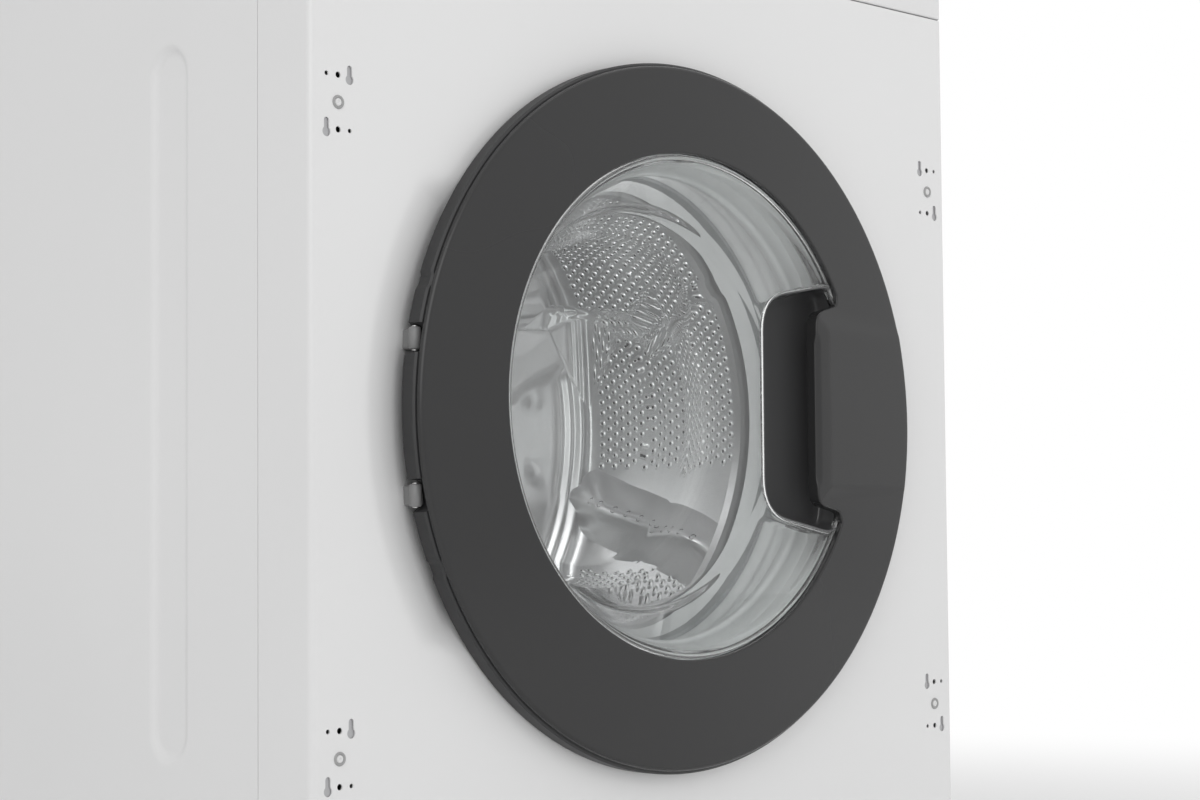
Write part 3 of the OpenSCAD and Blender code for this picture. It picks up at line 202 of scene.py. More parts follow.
@contextmanager
def editing(mesh: bpy.types.Mesh) -> Iterator[bmesh.types.BMesh]:
    """Lends a mesh's points and faces for a change, and writes them back."""
    work = bmesh.new()
    work.from_mesh(mesh)
    yield work
    work.to_mesh(mesh)
    work.free()


def turn_to(mesh: bpy.types.Mesh, way: Point) -> None:
    """Turns all faces over if on the whole they look away from a direction."""
    with editing(mesh) as work:
        if sum(f.normal.dot(Vector(way)) * f.calc_area() for f in work.faces) < 0:
            bmesh.ops.reverse_faces(work, faces=work.faces)


def added(name: str, data: Any) -> bpy.types.Object:
    """A new object in the scene."""
    made = bpy.data.objects.new(name, data)
    bpy.context.scene.collection.objects.link(made)
    return made


def thicken(item: bpy.types.Object, thickness: float) -> None:
    """Gives an open sheet a thickness in millimetres behind its faces."""
    solid = item.modifiers.new("sheet", "SOLIDIFY")
    solid.thickness, solid.offset = thickness * METRE, -1


class Graph:
    """A node tree whose nodes all come from one method."""

    def __init__(self, tree: bpy.types.NodeTree) -> None:
        """Starts on an empty tree."""
        self.tree = tree

    def node(self, kind: str, settings: dict[str, Any] | None = None,
             inputs: dict[Any, Any] | None = None, output: Any = 0) -> "Wire":
        """Makes one node.

        Args:
            kind: The node's type.
            settings: Attributes set first.
            inputs: Values or wires by socket name or number.
            output: Name or number of the output socket to return.

        Returns:
            The output as a wire.
        """
        made = self.tree.nodes.new(kind)
        for key, value in (settings or {}).items():
            setattr(made, key, value)
        for key, value in (inputs or {}).items():
            if isinstance(value, Wire):
                self.tree.links.new(value.socket, made.inputs[key])
            else:
                made.inputs[key].default_value = value
        return Wire(self, made.outputs[output] if len(made.outputs) else None, made)

    def maths(self, operation: str, *values: Any) -> "Wire":
        """Makes a Math node of the operation on these values."""
        return self.node("ShaderNodeMath", {"operation": operation}, dict(enumerate(values)))


class Wire:
    """A socket that Python's operators turn into Math nodes."""

    def __init__(self, graph: Graph, socket: Any, owner: Any) -> None:
        """Wraps a socket of a node."""
        self.graph, self.socket, self.owner = graph, socket, owner

    def out(self, name: str) -> "Wire":
        """Another output of the same node."""
        return Wire(self.graph, self.owner.outputs[name], self.owner)

    def __add__(self, other: Any) -> "Wire":
        """Sum."""
        return self.graph.maths("ADD", self, other)

    def __sub__(self, other: Any) -> "Wire":
        """Difference."""
        return self.graph.maths("SUBTRACT", self, other)

    def __mul__(self, other: Any) -> "Wire":
        """Product."""
        return self.graph.maths("MULTIPLY", self, other)

    def __truediv__(self, other: Any) -> "Wire":
        """Quotient."""
        return self.graph.maths("DIVIDE", self, other)

    def span(self, low: float, high: float, first: float = 0.0, last: float = 1.0) -> "Wire":
        """Maps low..high smoothly to first..last."""
        return self.graph.node("ShaderNodeMapRange", {"interpolation_type": "SMOOTHSTEP"},
                               {0: self, 1: low, 2: high, 3: first, 4: last})


class Paint(Graph):
    """The nodes of one material."""

    def __init__(self, name: str) -> None:
        """Makes an empty node material."""
        self.material = bpy.data.materials.new(name)
        self.material.use_nodes = True
        super().__init__(self.material.node_tree)
        self.tree.nodes.clear()
        self.where = self.node("ShaderNodeTexCoord", output="Object")

    def stretched(self, scale: Point, turn: Point = (0, 0, 0)) -> Wire:
        """The object's own coordinates, scaled along each axis and turned."""
        return self.node("ShaderNodeMapping", None, {"Vector": self.where, "Scale": scale, "Rotation": turn})

    def noise(self, scale: float, detail: float = 3.0, where: Wire | None = None) -> Wire:
        """Noise from 0 to 1 at a scale in cycles a metre."""
        return self.node("ShaderNodeTexNoise", None,
                         {"Vector": where or self.where, "Scale": scale, "Detail": detail, "Roughness": 0.5})

    def cells(self, scale: float, output: Any = "Distance") -> Wire:
        """Distance in, or colour of, the cells of a random pattern."""
        return self.node("ShaderNodeTexVoronoi", {"feature": "F1"},
                         {"Vector": self.where, "Scale": scale}, output)

    def tint(self, factor: Any, first: Sequence[float], last: Sequence[float]) -> Wire:
        """A colour between two."""
        return self.node("ShaderNodeMix", {"data_type": "RGBA"},
                         {0: factor, 6: (*first, 1.0), 7: (*last, 1.0)}, 2)

    def bump(self, height: Wire, strength: float, distance: float) -> Wire:
        """A normal bent by a height."""
        return self.node("ShaderNodeBump", None,
                         {"Height": height, "Strength": strength, "Distance": distance}, "Normal")

    def finish(self, surface: Wire) -> bpy.types.Material:
        """Joins the surface to the output and returns the material."""
        self.node("ShaderNodeOutputMaterial", None, {"Surface": surface})
        return self.material


class Pattern(Enum):
    """The small structure that a finish has."""

    ENAMEL = "sprayed and baked paint"
    MOULDED = "injection-moulded plastic"
    GLOSS = "polished moulding"
    BRUSHED = "drawn or turned steel"
    SPANGLE = "galvanised sheet"
    CAST = "die-cast metal"
    STONE = "cast concrete"
    RUBBER = "moulded rubber"
    BOARD = "circuit board"


@dataclass(frozen=True)
class Finish:
    """One finish of the machine.

    Attributes:
        name: Its slot in the record.
        colour: Base colour.
        rough: Mean roughness.
        pattern: Its small structure.
        metal: Metallic share.
        coat: Weight of the clear coat.
        vary: How far colour and gloss wander over the surface.
        grain: Cycles a metre of the fine structure.
        relief: Height of the fine structure in millimetres.
    """

    name: str
    colour: Point
    rough: float
    pattern: Pattern
    metal: float = 0.0
    coat: float = 0.0
    vary: float = 0.04
    grain: float = 900.0
    relief: float = 0.02

    def shade(self, factor: float) -> Point:
        """The colour made lighter or darker."""
        return tuple(min(1.0, c * factor) for c in self.colour)

    def make(self) -> bpy.types.Material:
        """Builds the finish's material.

        Returns:
            The material, with its pattern in colour, roughness and bump.
        """
        p = Paint(self.name)
        wide = p.noise(3.5, 2.0)
        fine = p.noise(self.grain, 2.0)
        height, share = fine, wide
        if self.pattern is Pattern.ENAMEL:
            height = p.noise(self.grain * 0.45, 1.0) * 0.7 + fine * 0.3
        elif self.pattern is Pattern.GLOSS:
            height = p.noise(60.0, 1.0) * 0.6 + fine * 0.4
        elif self.pattern is Pattern.BRUSHED:
            along = p.noise(self.grain, 3.0, p.stretched((1.0, 0.06, 1.0)))
            height, share = along, along * 0.6 + wide * 0.4
        elif self.pattern is Pattern.SPANGLE:
            flake = p.cells(self.grain * 0.12, output="Color")
            shade = p.node("ShaderNodeSeparateColor", None, {"Color": flake})
            share = shade * 0.75 + wide * 0.25
        elif self.pattern is Pattern.CAST:
            height = fine * 0.6 + p.noise(self.grain * 0.2, 4.0) * 0.4
        elif self.pattern is Pattern.STONE:
            pits = p.cells(self.grain * 0.25).span(0.05, 0.35)
            height, share = pits * 0.7 + fine * 0.3, pits * 0.5 + wide * 0.5
        elif self.pattern is Pattern.RUBBER:
            share = wide * 0.5 + p.noise(40.0, 4.0) * 0.5
        elif self.pattern is Pattern.BOARD:
            tracks = p.node("ShaderNodeTexBrick", None, {
                "Vector": p.stretched((1, 1, 1), (math.pi / 2, 0, 0)), "Scale": 60.0,
                "Color1": WHITE, "Color2": (0.6, 0.6, 0.6, 1), "Mortar": (0, 0, 0, 1),
                "Mortar Size": 0.05}, "Fac")
            height, share = tracks, tracks
        spread = 1.6 * self.vary
        colour = p.tint(share.span(0.0, 1.0), self.shade(1 - spread), self.shade(1 + spread))
        rough = share.span(0.0, 1.0, self.rough * (1 - 2 * self.vary),
                           min(1.0, self.rough * (1 + 2 * self.vary)))
        surface = p.node("ShaderNodeBsdfPrincipled", None, {
            "Base Color": colour, "Roughness": rough, "Metallic": self.metal, "Coat Weight": self.coat,
            "Coat Roughness": 0.12, "Normal": p.bump(height, 0.6, self.relief * METRE)})
        return p.finish(surface)


@dataclass(frozen=True)
class Clear:
    """Glass or clear plastic, through which lamps still light what is behind it.

    Attributes:
        name: Its slot in the record.
        colour: Tint of what passes.
        ior: Index of refraction.
        rough: Roughness.
        passing: Share of light that passes to what is behind.
        ripple: Height of the pressed surface's ripple in millimetres.
    """

    name: str
    colour: Point
    ior: float
    rough: float
    passing: float = 0.97
    ripple: float = 0.0

    def make(self) -> bpy.types.Material:
        """Builds the material.

        Returns:
            The material.
        """
        p = Paint(self.name)
        height = p.noise(9.0, 2.0)
        glass = p.node("ShaderNodeBsdfPrincipled", None, {
            "Base Color": p.tint(height, self.colour, tuple(c * 0.985 for c in self.colour)),
            "Roughness": self.rough, "IOR": self.ior, "Transmission Weight": 1.0,
            "Normal": p.bump(height, 1.0, max(self.ripple, 0.001) * METRE)})
        light = p.node("ShaderNodeLightPath", output="Is Shadow Ray")
        reach = p.maths("MAXIMUM", light, light.out("Is Diffuse Ray"))
        through = p.node("ShaderNodeBsdfTransparent", None,
                         {"Color": tuple(c * self.passing for c in self.colour) + (1.0,)})
        return p.finish(p.node("ShaderNodeMixShader", None, {0: reach, 1: glass, 2: through}))


FINISHES: tuple[Finish | Clear, ...] = (
    Finish("cabinet_white", (0.80, 0.80, 0.80), 0.34, Pattern.ENAMEL,
           coat=0.25, vary=0.012, grain=700, relief=0.01),
    Finish("white_plastic", (0.79, 0.79, 0.79), 0.38, Pattern.MOULDED,
           vary=0.012, grain=2200, relief=0.006),
    Finish("galvanised_steel", (0.55, 0.56, 0.57), 0.42, Pattern.SPANGLE,
           metal=0.85, vary=0.05, grain=1500),
    Finish("dark_plastic", (0.028, 0.028, 0.029), 0.48, Pattern.MOULDED,
           vary=0.08, grain=2600, relief=0.02),
    Finish("black_gloss", (0.024, 0.024, 0.0245), 0.27, Pattern.GLOSS,
           vary=0.02, grain=2400, relief=0.002),
    Finish("seal_rubber", (0.72, 0.72, 0.725), 0.55, Pattern.RUBBER, vary=0.06, grain=1800),
    Finish("black_rubber", (0.022, 0.022, 0.022), 0.62, Pattern.RUBBER,
           vary=0.15, grain=1800, relief=0.04),
    Finish("spring_steel", (0.58, 0.58, 0.57), 0.30, Pattern.BRUSHED,
           metal=1.0, vary=0.1, grain=1500, relief=0.01),
    Finish("tub_plastic", (0.42, 0.43, 0.44), 0.50, Pattern.MOULDED,
           vary=0.05, grain=1600, relief=0.03),
    Finish("concrete", (0.36, 0.355, 0.345), 0.88, Pattern.STONE, vary=0.2, grain=900, relief=0.5),
    Finish("motor_paint", (0.075, 0.077, 0.08), 0.42, Pattern.ENAMEL,
           vary=0.08, grain=800, relief=0.03),
    Finish("valve_plastic", (0.72, 0.72, 0.69), 0.42, Pattern.MOULDED, vary=0.03, grain=2000),
    Finish("cast_aluminium", (0.62, 0.62, 0.63), 0.46, Pattern.CAST,
           metal=1.0, vary=0.07, grain=1400, relief=0.06),
    Finish("board_green", (0.025, 0.13, 0.055), 0.35, Pattern.BOARD, vary=0.25, relief=0.05),
    Finish("stainless_drum", (0.76, 0.76, 0.765), 0.31, Pattern.BRUSHED,
           metal=1.0, vary=0.05, grain=900, relief=0.004),
    Clear("clear_screen", (0.97, 0.976, 0.974), 1.49, 0.0),
    Clear("door_glass", (0.965, 0.977, 0.974), 1.50, 0.0, ripple=0.03),
    Finish("smoke_plastic", (0.10, 0.10, 0.102), 0.14, Pattern.GLOSS,
           vary=0.06, grain=2400, relief=0.002),
    Finish("silver_plastic", (0.50, 0.50, 0.51), 0.32, Pattern.MOULDED,
           metal=0.6, vary=0.03, grain=2200, relief=0.006),
)


class Wardrobe:
    """Holds the materials by slot and dresses the CAD nodes."""

    def __init__(self, record: dict[str, Any]) -> None:
        """Makes every finish and keeps the record's slot of each node."""
        self.made = {f.name: f.make() for f in FINISHES}
        self.slots = {s["node"]: s["material_slot"] for s in record["subparts"]}

    def dress(self, nodes: dict[str, bpy.types.Object]) -> None:
        """Gives each CAD node the material of its slot."""
        for name, item in nodes.items():
            item.data.materials.clear()
            item.data.materials.append(self.made[self.slots[name]])


class Form:
    """Points and faces of one piece, gathered in millimetres."""

    def __init__(self, name: str) -> None:
        """Starts an empty piece."""
        self.name = name
        self.points: list[Point] = []
        self.faces: Faces = []

    def grid(self, rows: Sequence[Sequence[Point]], around: bool = False, along: bool = False) -> "Form":
        """Adds quads between rows of points.

        Args:
            rows: Rows of equal length.
            around: Whether each row closes on itself.
            along: Whether the last row joins the first.

        Returns:
            The form itself.
        """
        base, wide, tall = len(self.points), len(rows[0]), len(rows)
        for row in rows:
            self.points.extend(tuple(p) for p in row)
        for i in range(tall if along else tall - 1):
            near, far = base + i * wide, base + (i + 1) % tall * wide
            for j in range(wide if around else wide - 1):
                k = (j + 1) % wide
                self.faces.append((near + j, near + k, far + k, far + j))
        return self

    def cap(self, ring: Sequence[Point]) -> "Form":
        """Adds one face with many corners."""
        base = len(self.points)
        self.points.extend(tuple(p) for p in ring)
        self.faces.append(tuple(range(base, base + len(ring))))
        return self

    def lathe(self, profile: Loop, centre: Flat = (0.0, DOOR_Z), steps: int = 192,
              closed: bool = True, bend: Callable[[float, float, float], float] | None = None) -> "Form":
        """Turns a profile of radius and y about a front-to-back axis.

        Args:
            profile: Points of radius and y.
            centre: The axis in x and z.
            steps: Stretches round the axis.
            closed: Whether the profile is a loop.
            bend: Gives the final y from x and z about the centre, and y.

        Returns:
            The form itself.
        """
        rows = []
        for a in circle(steps):
            row = []
            for r, y in profile:
                x, z = r * math.cos(a), r * math.sin(a)
                row.append((centre[0] + x, bend(x, z, y) if bend else y, centre[1] + z))
            rows.append(row)
        return self.grid(rows, around=closed, along=True)

    def upright(self, profile: Loop, x: float, y: float, steps: int = 48) -> "Form":
        """Turns a profile of radius and height, from axis to axis, about a vertical line."""
        return self.grid([[(x + r * math.cos(a), y + r * math.sin(a), z) for r, z in profile]
                          for a in circle(steps)], along=True)

    def prism(self, outline: Loop, y0: float, y1: float, holes: Sequence[Loop] = ()) -> "Form":
        """A flat outline in x and z with holes, from y0 to y1."""
        flat, faces = filled(outline, holes)
        for y, way in ((y0, 1), (y1, -1)):
            base = len(self.points)
            self.points.extend(at_depth(flat, y))
            self.faces.extend(tuple(base + i for i in face[::way]) for face in faces)
        for loop in (outline, *holes):
            self.grid([at_depth(loop, y0), at_depth(loop, y1)], around=True)
        return self

    def loft(self, loops: Sequence[Sequence[Point]]) -> "Form":
        """Closed loops joined in order, with both ends capped."""
        self.grid(loops, around=True)
        self.cap(list(loops[0])[::-1])
        return self.cap(loops[-1])

    def mesh(self, sharp: float) -> bpy.types.Mesh:
        """The gathered mesh in metres, merged, closed and facing outwards."""
        made = bpy.data.meshes.new(self.name)
        made.from_pydata([place(p) for p in self.points], [], self.faces)
        with editing(made) as work:
            bmesh.ops.remove_doubles(work, verts=work.verts, dist=MERGE)
            bmesh.ops.dissolve_degenerate(work, dist=SLIVER, edges=work.edges)
            bmesh.ops.recalc_face_normals(work, faces=work.faces)
        made.shade_smooth()
        made.set_sharp_from_angle(angle=math.radians(sharp))
        used = Counter(key for face in made.polygons for key in face.edge_keys)
        for edge in made.edges:
            if used[edge.key] == 1:
                edge.use_edge_sharp = True
        return made

    def item(self, look: bpy.types.Material, sharp: float = 40.0, bevel: float = 0.0) -> bpy.types.Object:
        """Makes the object.

        Args:
            look: Its material.
            sharp: Angle in degrees above which an edge stays sharp.
            bevel: Width in millimetres of a bevel on the sharp edges.

        Returns:
            The object, at the origin.
        """
        made = added(self.name, self.mesh(sharp))
        made.data.materials.append(look)
        if bevel:
            edge = made.modifiers.new("edge", "BEVEL")
            edge.width, edge.segments, edge.limit_method = bevel * METRE, 2, "ANGLE"
            edge.angle_limit, edge.harden_normals = math.radians(sharp), True
        return made

    def folded(self, look: bpy.types.Material, thickness: float, way: Point) -> bpy.types.Object:
        """Makes the object as an open sheet that looks one way and is thickened behind."""
        made = self.item(look)
        turn_to(made.data, way)
        thicken(made, thickness)
        return made


def settle(item: bpy.types.Object, body: str, slot: str, *nodes: str) -> None:
    """Gives a finished piece to its body, in place of CAD nodes.

    Args:
        item: The piece.
        body: The CAD body it rides on.
        slot: The record's material slot; not used.
        nodes: CAD nodes that it stands for.
    """
    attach(item, body)
    if nodes:
        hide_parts(*nodes)
    LOG.info("%s: %d faces on %s", item.name, len(item.data.polygons), body)


@dataclass
class Part:
    """A sub-assembly and the looks that it draws from."""

    looks: dict[str, bpy.types.Material]

    def put(self, form: Form, look: str, body: str, *nodes: str, sharp: float = 40.0,
            bevel: float = 0.0) -> None:
        """Finishes a form whose look is also its slot.

        Args:
            form: The gathered piece.
            look: Its look and slot.
            body: The CAD body it rides on.
            nodes: CAD nodes that it stands for.
            sharp: Angle in degrees above which an edge stays sharp.
            bevel: Width in millimetres of a bevel on the sharp edges.
        """
        settle(form.item(self.looks[look], sharp, bevel), body, look, *nodes)


class Spread(Graph):
    """A Geometry Nodes tree that sets copies of one small piece in a pattern."""

    def __init__(self, name: str, sizes: dict[str, float]) -> None:
        """Makes the tree's inputs.

        Args:
            name: Name of the tree.
            sizes: Named inputs with their values.
        """
        tree = bpy.data.node_groups.new(name, "GeometryNodeTree")
        super().__init__(tree)
        self.sizes, self.keys = sizes, {}
        kinds = {key: "Int" if isinstance(value, int) else "Float" for key, value in sizes.items()}
        for key, kind in {**kinds, "Piece": "Object", "Look": "Material"}.items():
            socket = tree.interface.new_socket(key, in_out="INPUT", socket_type="NodeSocket" + kind)
            self.keys[key] = socket.identifier
        tree.interface.new_socket("Geometry", in_out="OUTPUT", socket_type="NodeSocketGeometry")
        self.given = self.node("NodeGroupInput")

    def size(self, name: str) -> Wire:
        """The wire of a named input."""
        return self.given.out(name)

    def vector(self, x: Any, y: Any, z: Any) -> Wire:
        """A vector from three values."""
        return self.node("ShaderNodeCombineXYZ", None, {0: x, 1: y, 2: z})

    def around(self, angle: Wire, x: Any, y: Any, z: Any) -> Wire:
        """The place at an angle on the circle of the input Radius about x and z, at depth y."""
        radius = self.size("Radius")
        return self.vector(self.maths("COSINE", angle) * radius + x, y,
                           self.maths("SINE", angle) * radius + z)

    def copies(self, points: Wire, spot: Wire, turn: Any) -> None:
        """Ends the tree: copies of the piece on moved points, made real and painted.

        Args:
            points: Geometry whose points carry the copies.
            spot: Place of each point.
            turn: Rotation of each copy.
        """
        bent = self.node("GeometryNodeSetPosition", None, {"Geometry": points, "Position": spot})
        piece = self.node("GeometryNodeObjectInfo", {"transform_space": "ORIGINAL"},
                          {"Object": self.size("Piece")}, "Geometry")
        put = self.node("GeometryNodeInstanceOnPoints", None,
                        {"Points": bent, "Instance": piece, "Rotation": turn})
        real = self.node("GeometryNodeRealizeInstances", None, {0: put})
        done = self.node("GeometryNodeSetMaterial", None, {"Geometry": real, "Material": self.size("Look")})
        self.node("NodeGroupOutput", None, {0: done})

    def make(self, name: str, piece: bpy.types.Object, look: bpy.types.Material) -> bpy.types.Object:
        """Runs the tree once and keeps its result as a plain mesh.

        Args:
            name: Name of the finished piece.
            piece: The small piece, removed afterwards.
            look: The material.

        Returns:
            The finished object.
        """
        holder = added(name + "_holder", bpy.data.meshes.new(name + "_holder"))
        step = holder.modifiers.new("spread", "NODES")
        step.node_group = self.tree
        for key, value in {**self.sizes, "Piece": piece, "Look": look}.items():
            step[self.keys[key]] = value
        holder.update_tag()
        view = bpy.context.evaluated_depsgraph_get()
        view.update()
        mesh = bpy.data.meshes.new_from_object(holder.evaluated_get(view))
        bpy.data.objects.remove(holder)
        bpy.data.objects.remove(piece)
        mesh.name = name
        if not mesh.materials:
            mesh.materials.append(look)
        return added(name, mesh)


class RoundSheet(Spread):
    """Copies staggered over a cylinder about the drum's axis."""

    def __init__(self, radius: float, start: float, length: float, columns: int, rows: int, first: float,
                 sweep: float) -> None:
        """Builds the tree.

        Args:
            radius: Radius in millimetres.
            start: y of the first row.
            length: Distance from the first row to the last.
            columns: Copies in a row.
            rows: Number of rows.
            first: Angle in degrees of the first column.
            sweep: Angle in degrees that a row covers.
        """
        super().__init__("round_sheet", {
            "Radius": radius * METRE, "Start": (start + PANEL_Y) * METRE, "Length": length * METRE,
            "Columns": columns, "Rows": rows, "First": math.radians(first), "Sweep": math.radians(sweep)})
        columns_in, rows_in = self.size("Columns"), self.size("Rows")
        grid = self.node("GeometryNodeMeshGrid", None, {
            "Size X": 1.0, "Size Y": 1.0, "Vertices X": columns_in, "Vertices Y": rows_in}, "Mesh")
        part = self.node("ShaderNodeSeparateXYZ", None, {0: self.node("GeometryNodeInputPosition")})
        u, v = part + 0.5, part.out("Y") + 0.5
        odd = self.maths("MODULO", self.maths("ROUND", v * (rows_in - 1)), 2.0)
        angle = self.size("First") + (u + odd * 0.5 / columns_in) * self.size("Sweep")
        spot = self.around(angle, 0.0, v * self.size("Length") + self.size("Start"), DOOR_Z * METRE)
        kept = self.node("GeometryNodeStoreNamedAttribute", {"data_type": "FLOAT", "domain": "POINT"},
                         {"Geometry": grid, "Name": "turn", "Value": angle})
        turn = self.node("GeometryNodeInputNamedAttribute", {"data_type": "FLOAT"}, {"Name": "turn"})
        self.copies(kept, spot, self.vector(0.0, turn * -1.0, 0.0))


class Circle(Spread):
    """Copies round a circle in the x and z plane."""

    def __init__(self, centre: Point, radius: float, count: int, first: float = 0.0) -> None:
        """Builds the tree.

        Args:
            centre: Centre in millimetres of the cabinet.
            radius: Radius in millimetres.
            count: Number of copies.
            first: Angle in degrees of the first copy.
        """
        x, y, z = place(centre)
        super().__init__("circle", {
            "X": x, "Y": y, "Z": z, "Radius": radius * METRE, "Count": count,
            "First": math.radians(first), "Step": 2 * math.pi / count})
        line = self.node("GeometryNodeMeshLine", None, {"Count": self.size("Count")})
        angle = self.size("First") + self.node("GeometryNodeInputIndex") * self.size("Step")
        spot = self.around(angle, self.size("X"), self.size("Y"), self.size("Z"))
        self.copies(line, spot, self.vector(0.0, angle * -1.0, 0.0))


class Block(Spread):
    """Copies in rows and columns, each step a vector."""

    def __init__(self, first: Point, step: Point, count: int, across: Point = (0, 0, 0),
                 lines: int = 1) -> None:
        """Builds the tree.

        Args:
            first: Place of the first copy in millimetres of the cabinet.
            step: Step to the next copy.
            count: Copies in a line.
            across: Step to the next line.
            lines: Number of lines.
        """
        x, y, z = place(first)
        sizes: dict[str, float] = {"X": x, "Y": y, "Z": z, "Count": count, "Lines": lines}
        for axis, a, b in zip("XYZ", step, across):
            sizes["Step " + axis], sizes["Across " + axis] = a * METRE, b * METRE
        super().__init__("block", sizes)
        each = self.size("Count")
        line = self.node("GeometryNodeMeshLine", None, {"Count": each * self.size("Lines")})
        number = self.node("GeometryNodeInputIndex")
        row = self.maths("FLOOR", (number + 0.5) / each)
        here = number - row * each
        spot = self.vector(*(self.size(a) + here * self.size("Step " + a) + row * self.size("Across " + a)
                             for a in "XYZ"))
        self.copies(line, spot, (0.0, 0.0, 0.0))


def small(points: Loop, steps: int, away: Point = (0, -1, 0), squash: float = 1.0) -> bpy.types.Object:
    """A small turned piece at the world's origin, for a Spread to copy.

    Args:
        points: Profile of radius and height in millimetres.
        steps: Stretches round it.
        away: Direction in which its height points.
        squash: Share of its radius that it keeps up and down.

    Returns:
        The piece.
    """
    up = Vector(away)
    side = Vector((0, 0, 1)).cross(up).normalized()
    rise = up.cross(side)
    form = Form("small").grid(
        [[up * h + side * (r * math.cos(a)) + rise * (r * math.sin(a) * squash) for r, h in points]
         for a in circle(steps, 0.5)], along=True)
    mesh = bpy.data.meshes.new("small")
    mesh.from_pydata([tuple(c * METRE for c in p) for p in form.points], [], form.faces)
    with editing(mesh) as work:
        bmesh.ops.remove_doubles(work, verts=work.verts, dist=SLIVER)
        bmesh.ops.recalc_face_normals(work, faces=work.faces)
    turn_to(mesh, away)
    mesh.shade_smooth()
    return added("small", mesh)


@dataclass
class Door(Part):
    """The porthole door: ring with its grip, back frame, hinge, clear screen, pocket and pressed bowl."""

    ring_r: float = 230.0
    window_r: float = 165.0
    face_slope: float = 0.102
    face_at: float = -24.8
    face_from: float = 150.0
    ring_round: float = 3.0
    ring_lip: float = 1.2
    ring_steps: int = 36
    ring_back: float = -17.5
    rim_back: float = -13.4
    wall: float = 2.5
    tab: tuple[Flat, ...] = ((143.0, -69.5), (116.5, -64.0), (116.5, 67.0), (143.0, 74.0))
    tab_turns: tuple[float, ...] = (-27.8, -18.0, 19.0, 29.6)
    tab_round: float = 9.0
    tab_step: float = 2.0
    rows: int = 216
    land_out: float = 26.95
    land_side: float = 90.0
    land_from: float = 130.0
    land_slope: float = 0.1064
    land_low: float = -52.0
    land_high: float = 56.0
    land_fall: float = 0.15
    land_blend: float = 0.5
    scoop_x: float = 120.5
    scoop_drift: float = 8.0
    scoop_half: float = 75.0
    scoop_ends: Flat = (46.0, 60.0)
    scoop_fall: float = 0.53
    screen_front: float = -19.0
    screen_t: float = 3.0
    pocket: tuple[Flat, ...] = ((69.0, -70.0), (152.0, -87.0), (152.0, 91.0), (69.0, 76.0))
    pocket_deep: float = 24.0
    pocket_round: float = 24.0
    pocket_slant: float = 1.04
    pocket_right: float = 149.0
    pocket_middle: Flat = (110.0, 2.0)
    pocket_reach: Flat = (41.0, 76.0)
    pocket_behind: float = 2.5
    bowl_r: float = 137.0
    shoulder: float = 33.0
    bowl_deep: float = 92.0
    glass_t: float = 5.0
    crease: float = 50.0
    crease_fall: float = 0.62
    crease_keep: float = 0.3
    frame_r: float = 232.0
    frame_hole: float = 173.0
    frame_front: float = -13.0
    frame_back: float = -1.4
    frame_lip: float = -10.0
    hinge_x: float = -224.0
    hinge_y: float = -5.0
    knuckles: tuple[float, float] = (-59.0, 34.0)
    knuckle_half: float = 8.0
    knuckle_r: float = 3.8
    pin_r: float = 2.0
    pin_half: float = 7.4
    notches: tuple[Point, ...] = ((-59.0, 8.0, 7.5), (34.0, 8.0, 7.5), (69.0, 4.0, 1.2), (-103.0, 4.0, 1.2))

    def face(self, x: float, z: float) -> float:
        """y of the ring's conical face at x and height z above the window's centre."""
        return self.face_at + (math.hypot(x, z + DOOR_Z - RING_Z) - self.face_from) * self.face_slope

    def front(self, x: float, z: float) -> float:
        """y of the ring's front at x and height z above the window's centre, with the grip's flat land."""
        cone = self.face(x, z)
        if x < self.land_side:
            return cone
        off = max(0.0, z - self.land_high, self.land_low - z)
        land = -self.land_out + (x - self.land_from) * self.land_slope + self.land_fall * off
        blend = max(0.0, self.land_blend - abs(cone - land))
        y = max(-self.land_out, min(cone, land) - blend * blend / 2)
        if abs(z) > self.scoop_half:
            return y
        edge = self.scoop_x - self.scoop_drift * ease(abs(z), *self.scoop_ends)
        return y + max(0.0, edge - x) * self.scoop_fall

    def opening(self) -> list[tuple[Vector, Vector, float]]:
        """Outline of the ring's opening round the window and the grip.

        Returns:
            Points about the window's centre, normals into the ring, and the angle of each point's row.
        """
        low, _, _, high = (math.radians(t) for t in self.tab_turns)
        turns = [high + (low + 2 * math.pi - high) * i / self.rows for i in range(self.rows + 1)]
        points = [Vector((self.window_r * math.cos(t), self.window_r * math.sin(t))) for t in turns]
        bends = rounded([tuple(points[-1]), *self.tab, tuple(points[0])], self.tab_round, 6, closed=False)
        line = [Vector(bends[0])]
        for last, here in zip(bends, bends[1:]):
            parts = max(1, round((Vector(here) - Vector(last)).length / self.tab_step))
            line += [Vector(last).lerp(Vector(here), (k + 1) / parts) for k in range(parts)]
        run = np.concatenate([[0.0], np.cumsum([(q - p).length for p, q in zip(line, line[1:])])])
        marks = [0.0, *(run[min(range(len(line)), key=lambda i: (line[i] - Vector(c)).length)]
                        for c in self.tab[1:3]), run[-1]]
        turns += [math.radians(t) for t in np.interp(run, marks, self.tab_turns)[1:-1]]
        points += line[1:-1]
        out = []
        for i, (here, turn) in enumerate(zip(points, turns)):
            way = (points[(i + 1) % len(points)] - points[i - 1]).normalized()
            out.append((here, Vector((way.y, -way.x)), turn))
        return out

    def ring(self) -> None:
        """Builds the ring and its grip in one skin; the window sits a little above the ring's centre."""
        rows = []
        lift = DOOR_Z - RING_Z
        for here, into, turn in self.opening():
            c, s = math.cos(turn), math.sin(turn)
            outer = -lift * s + math.sqrt(self.ring_r ** 2 - (lift * c) ** 2)

            def spot(at: Vector, y: float | None = None, more: float = 0.0) -> Point:
                """A point of the row, on the front unless y is given."""
                return (at.x, (self.front(at.x, at.y) if y is None else y) + more, DOOR_Z + at.y)

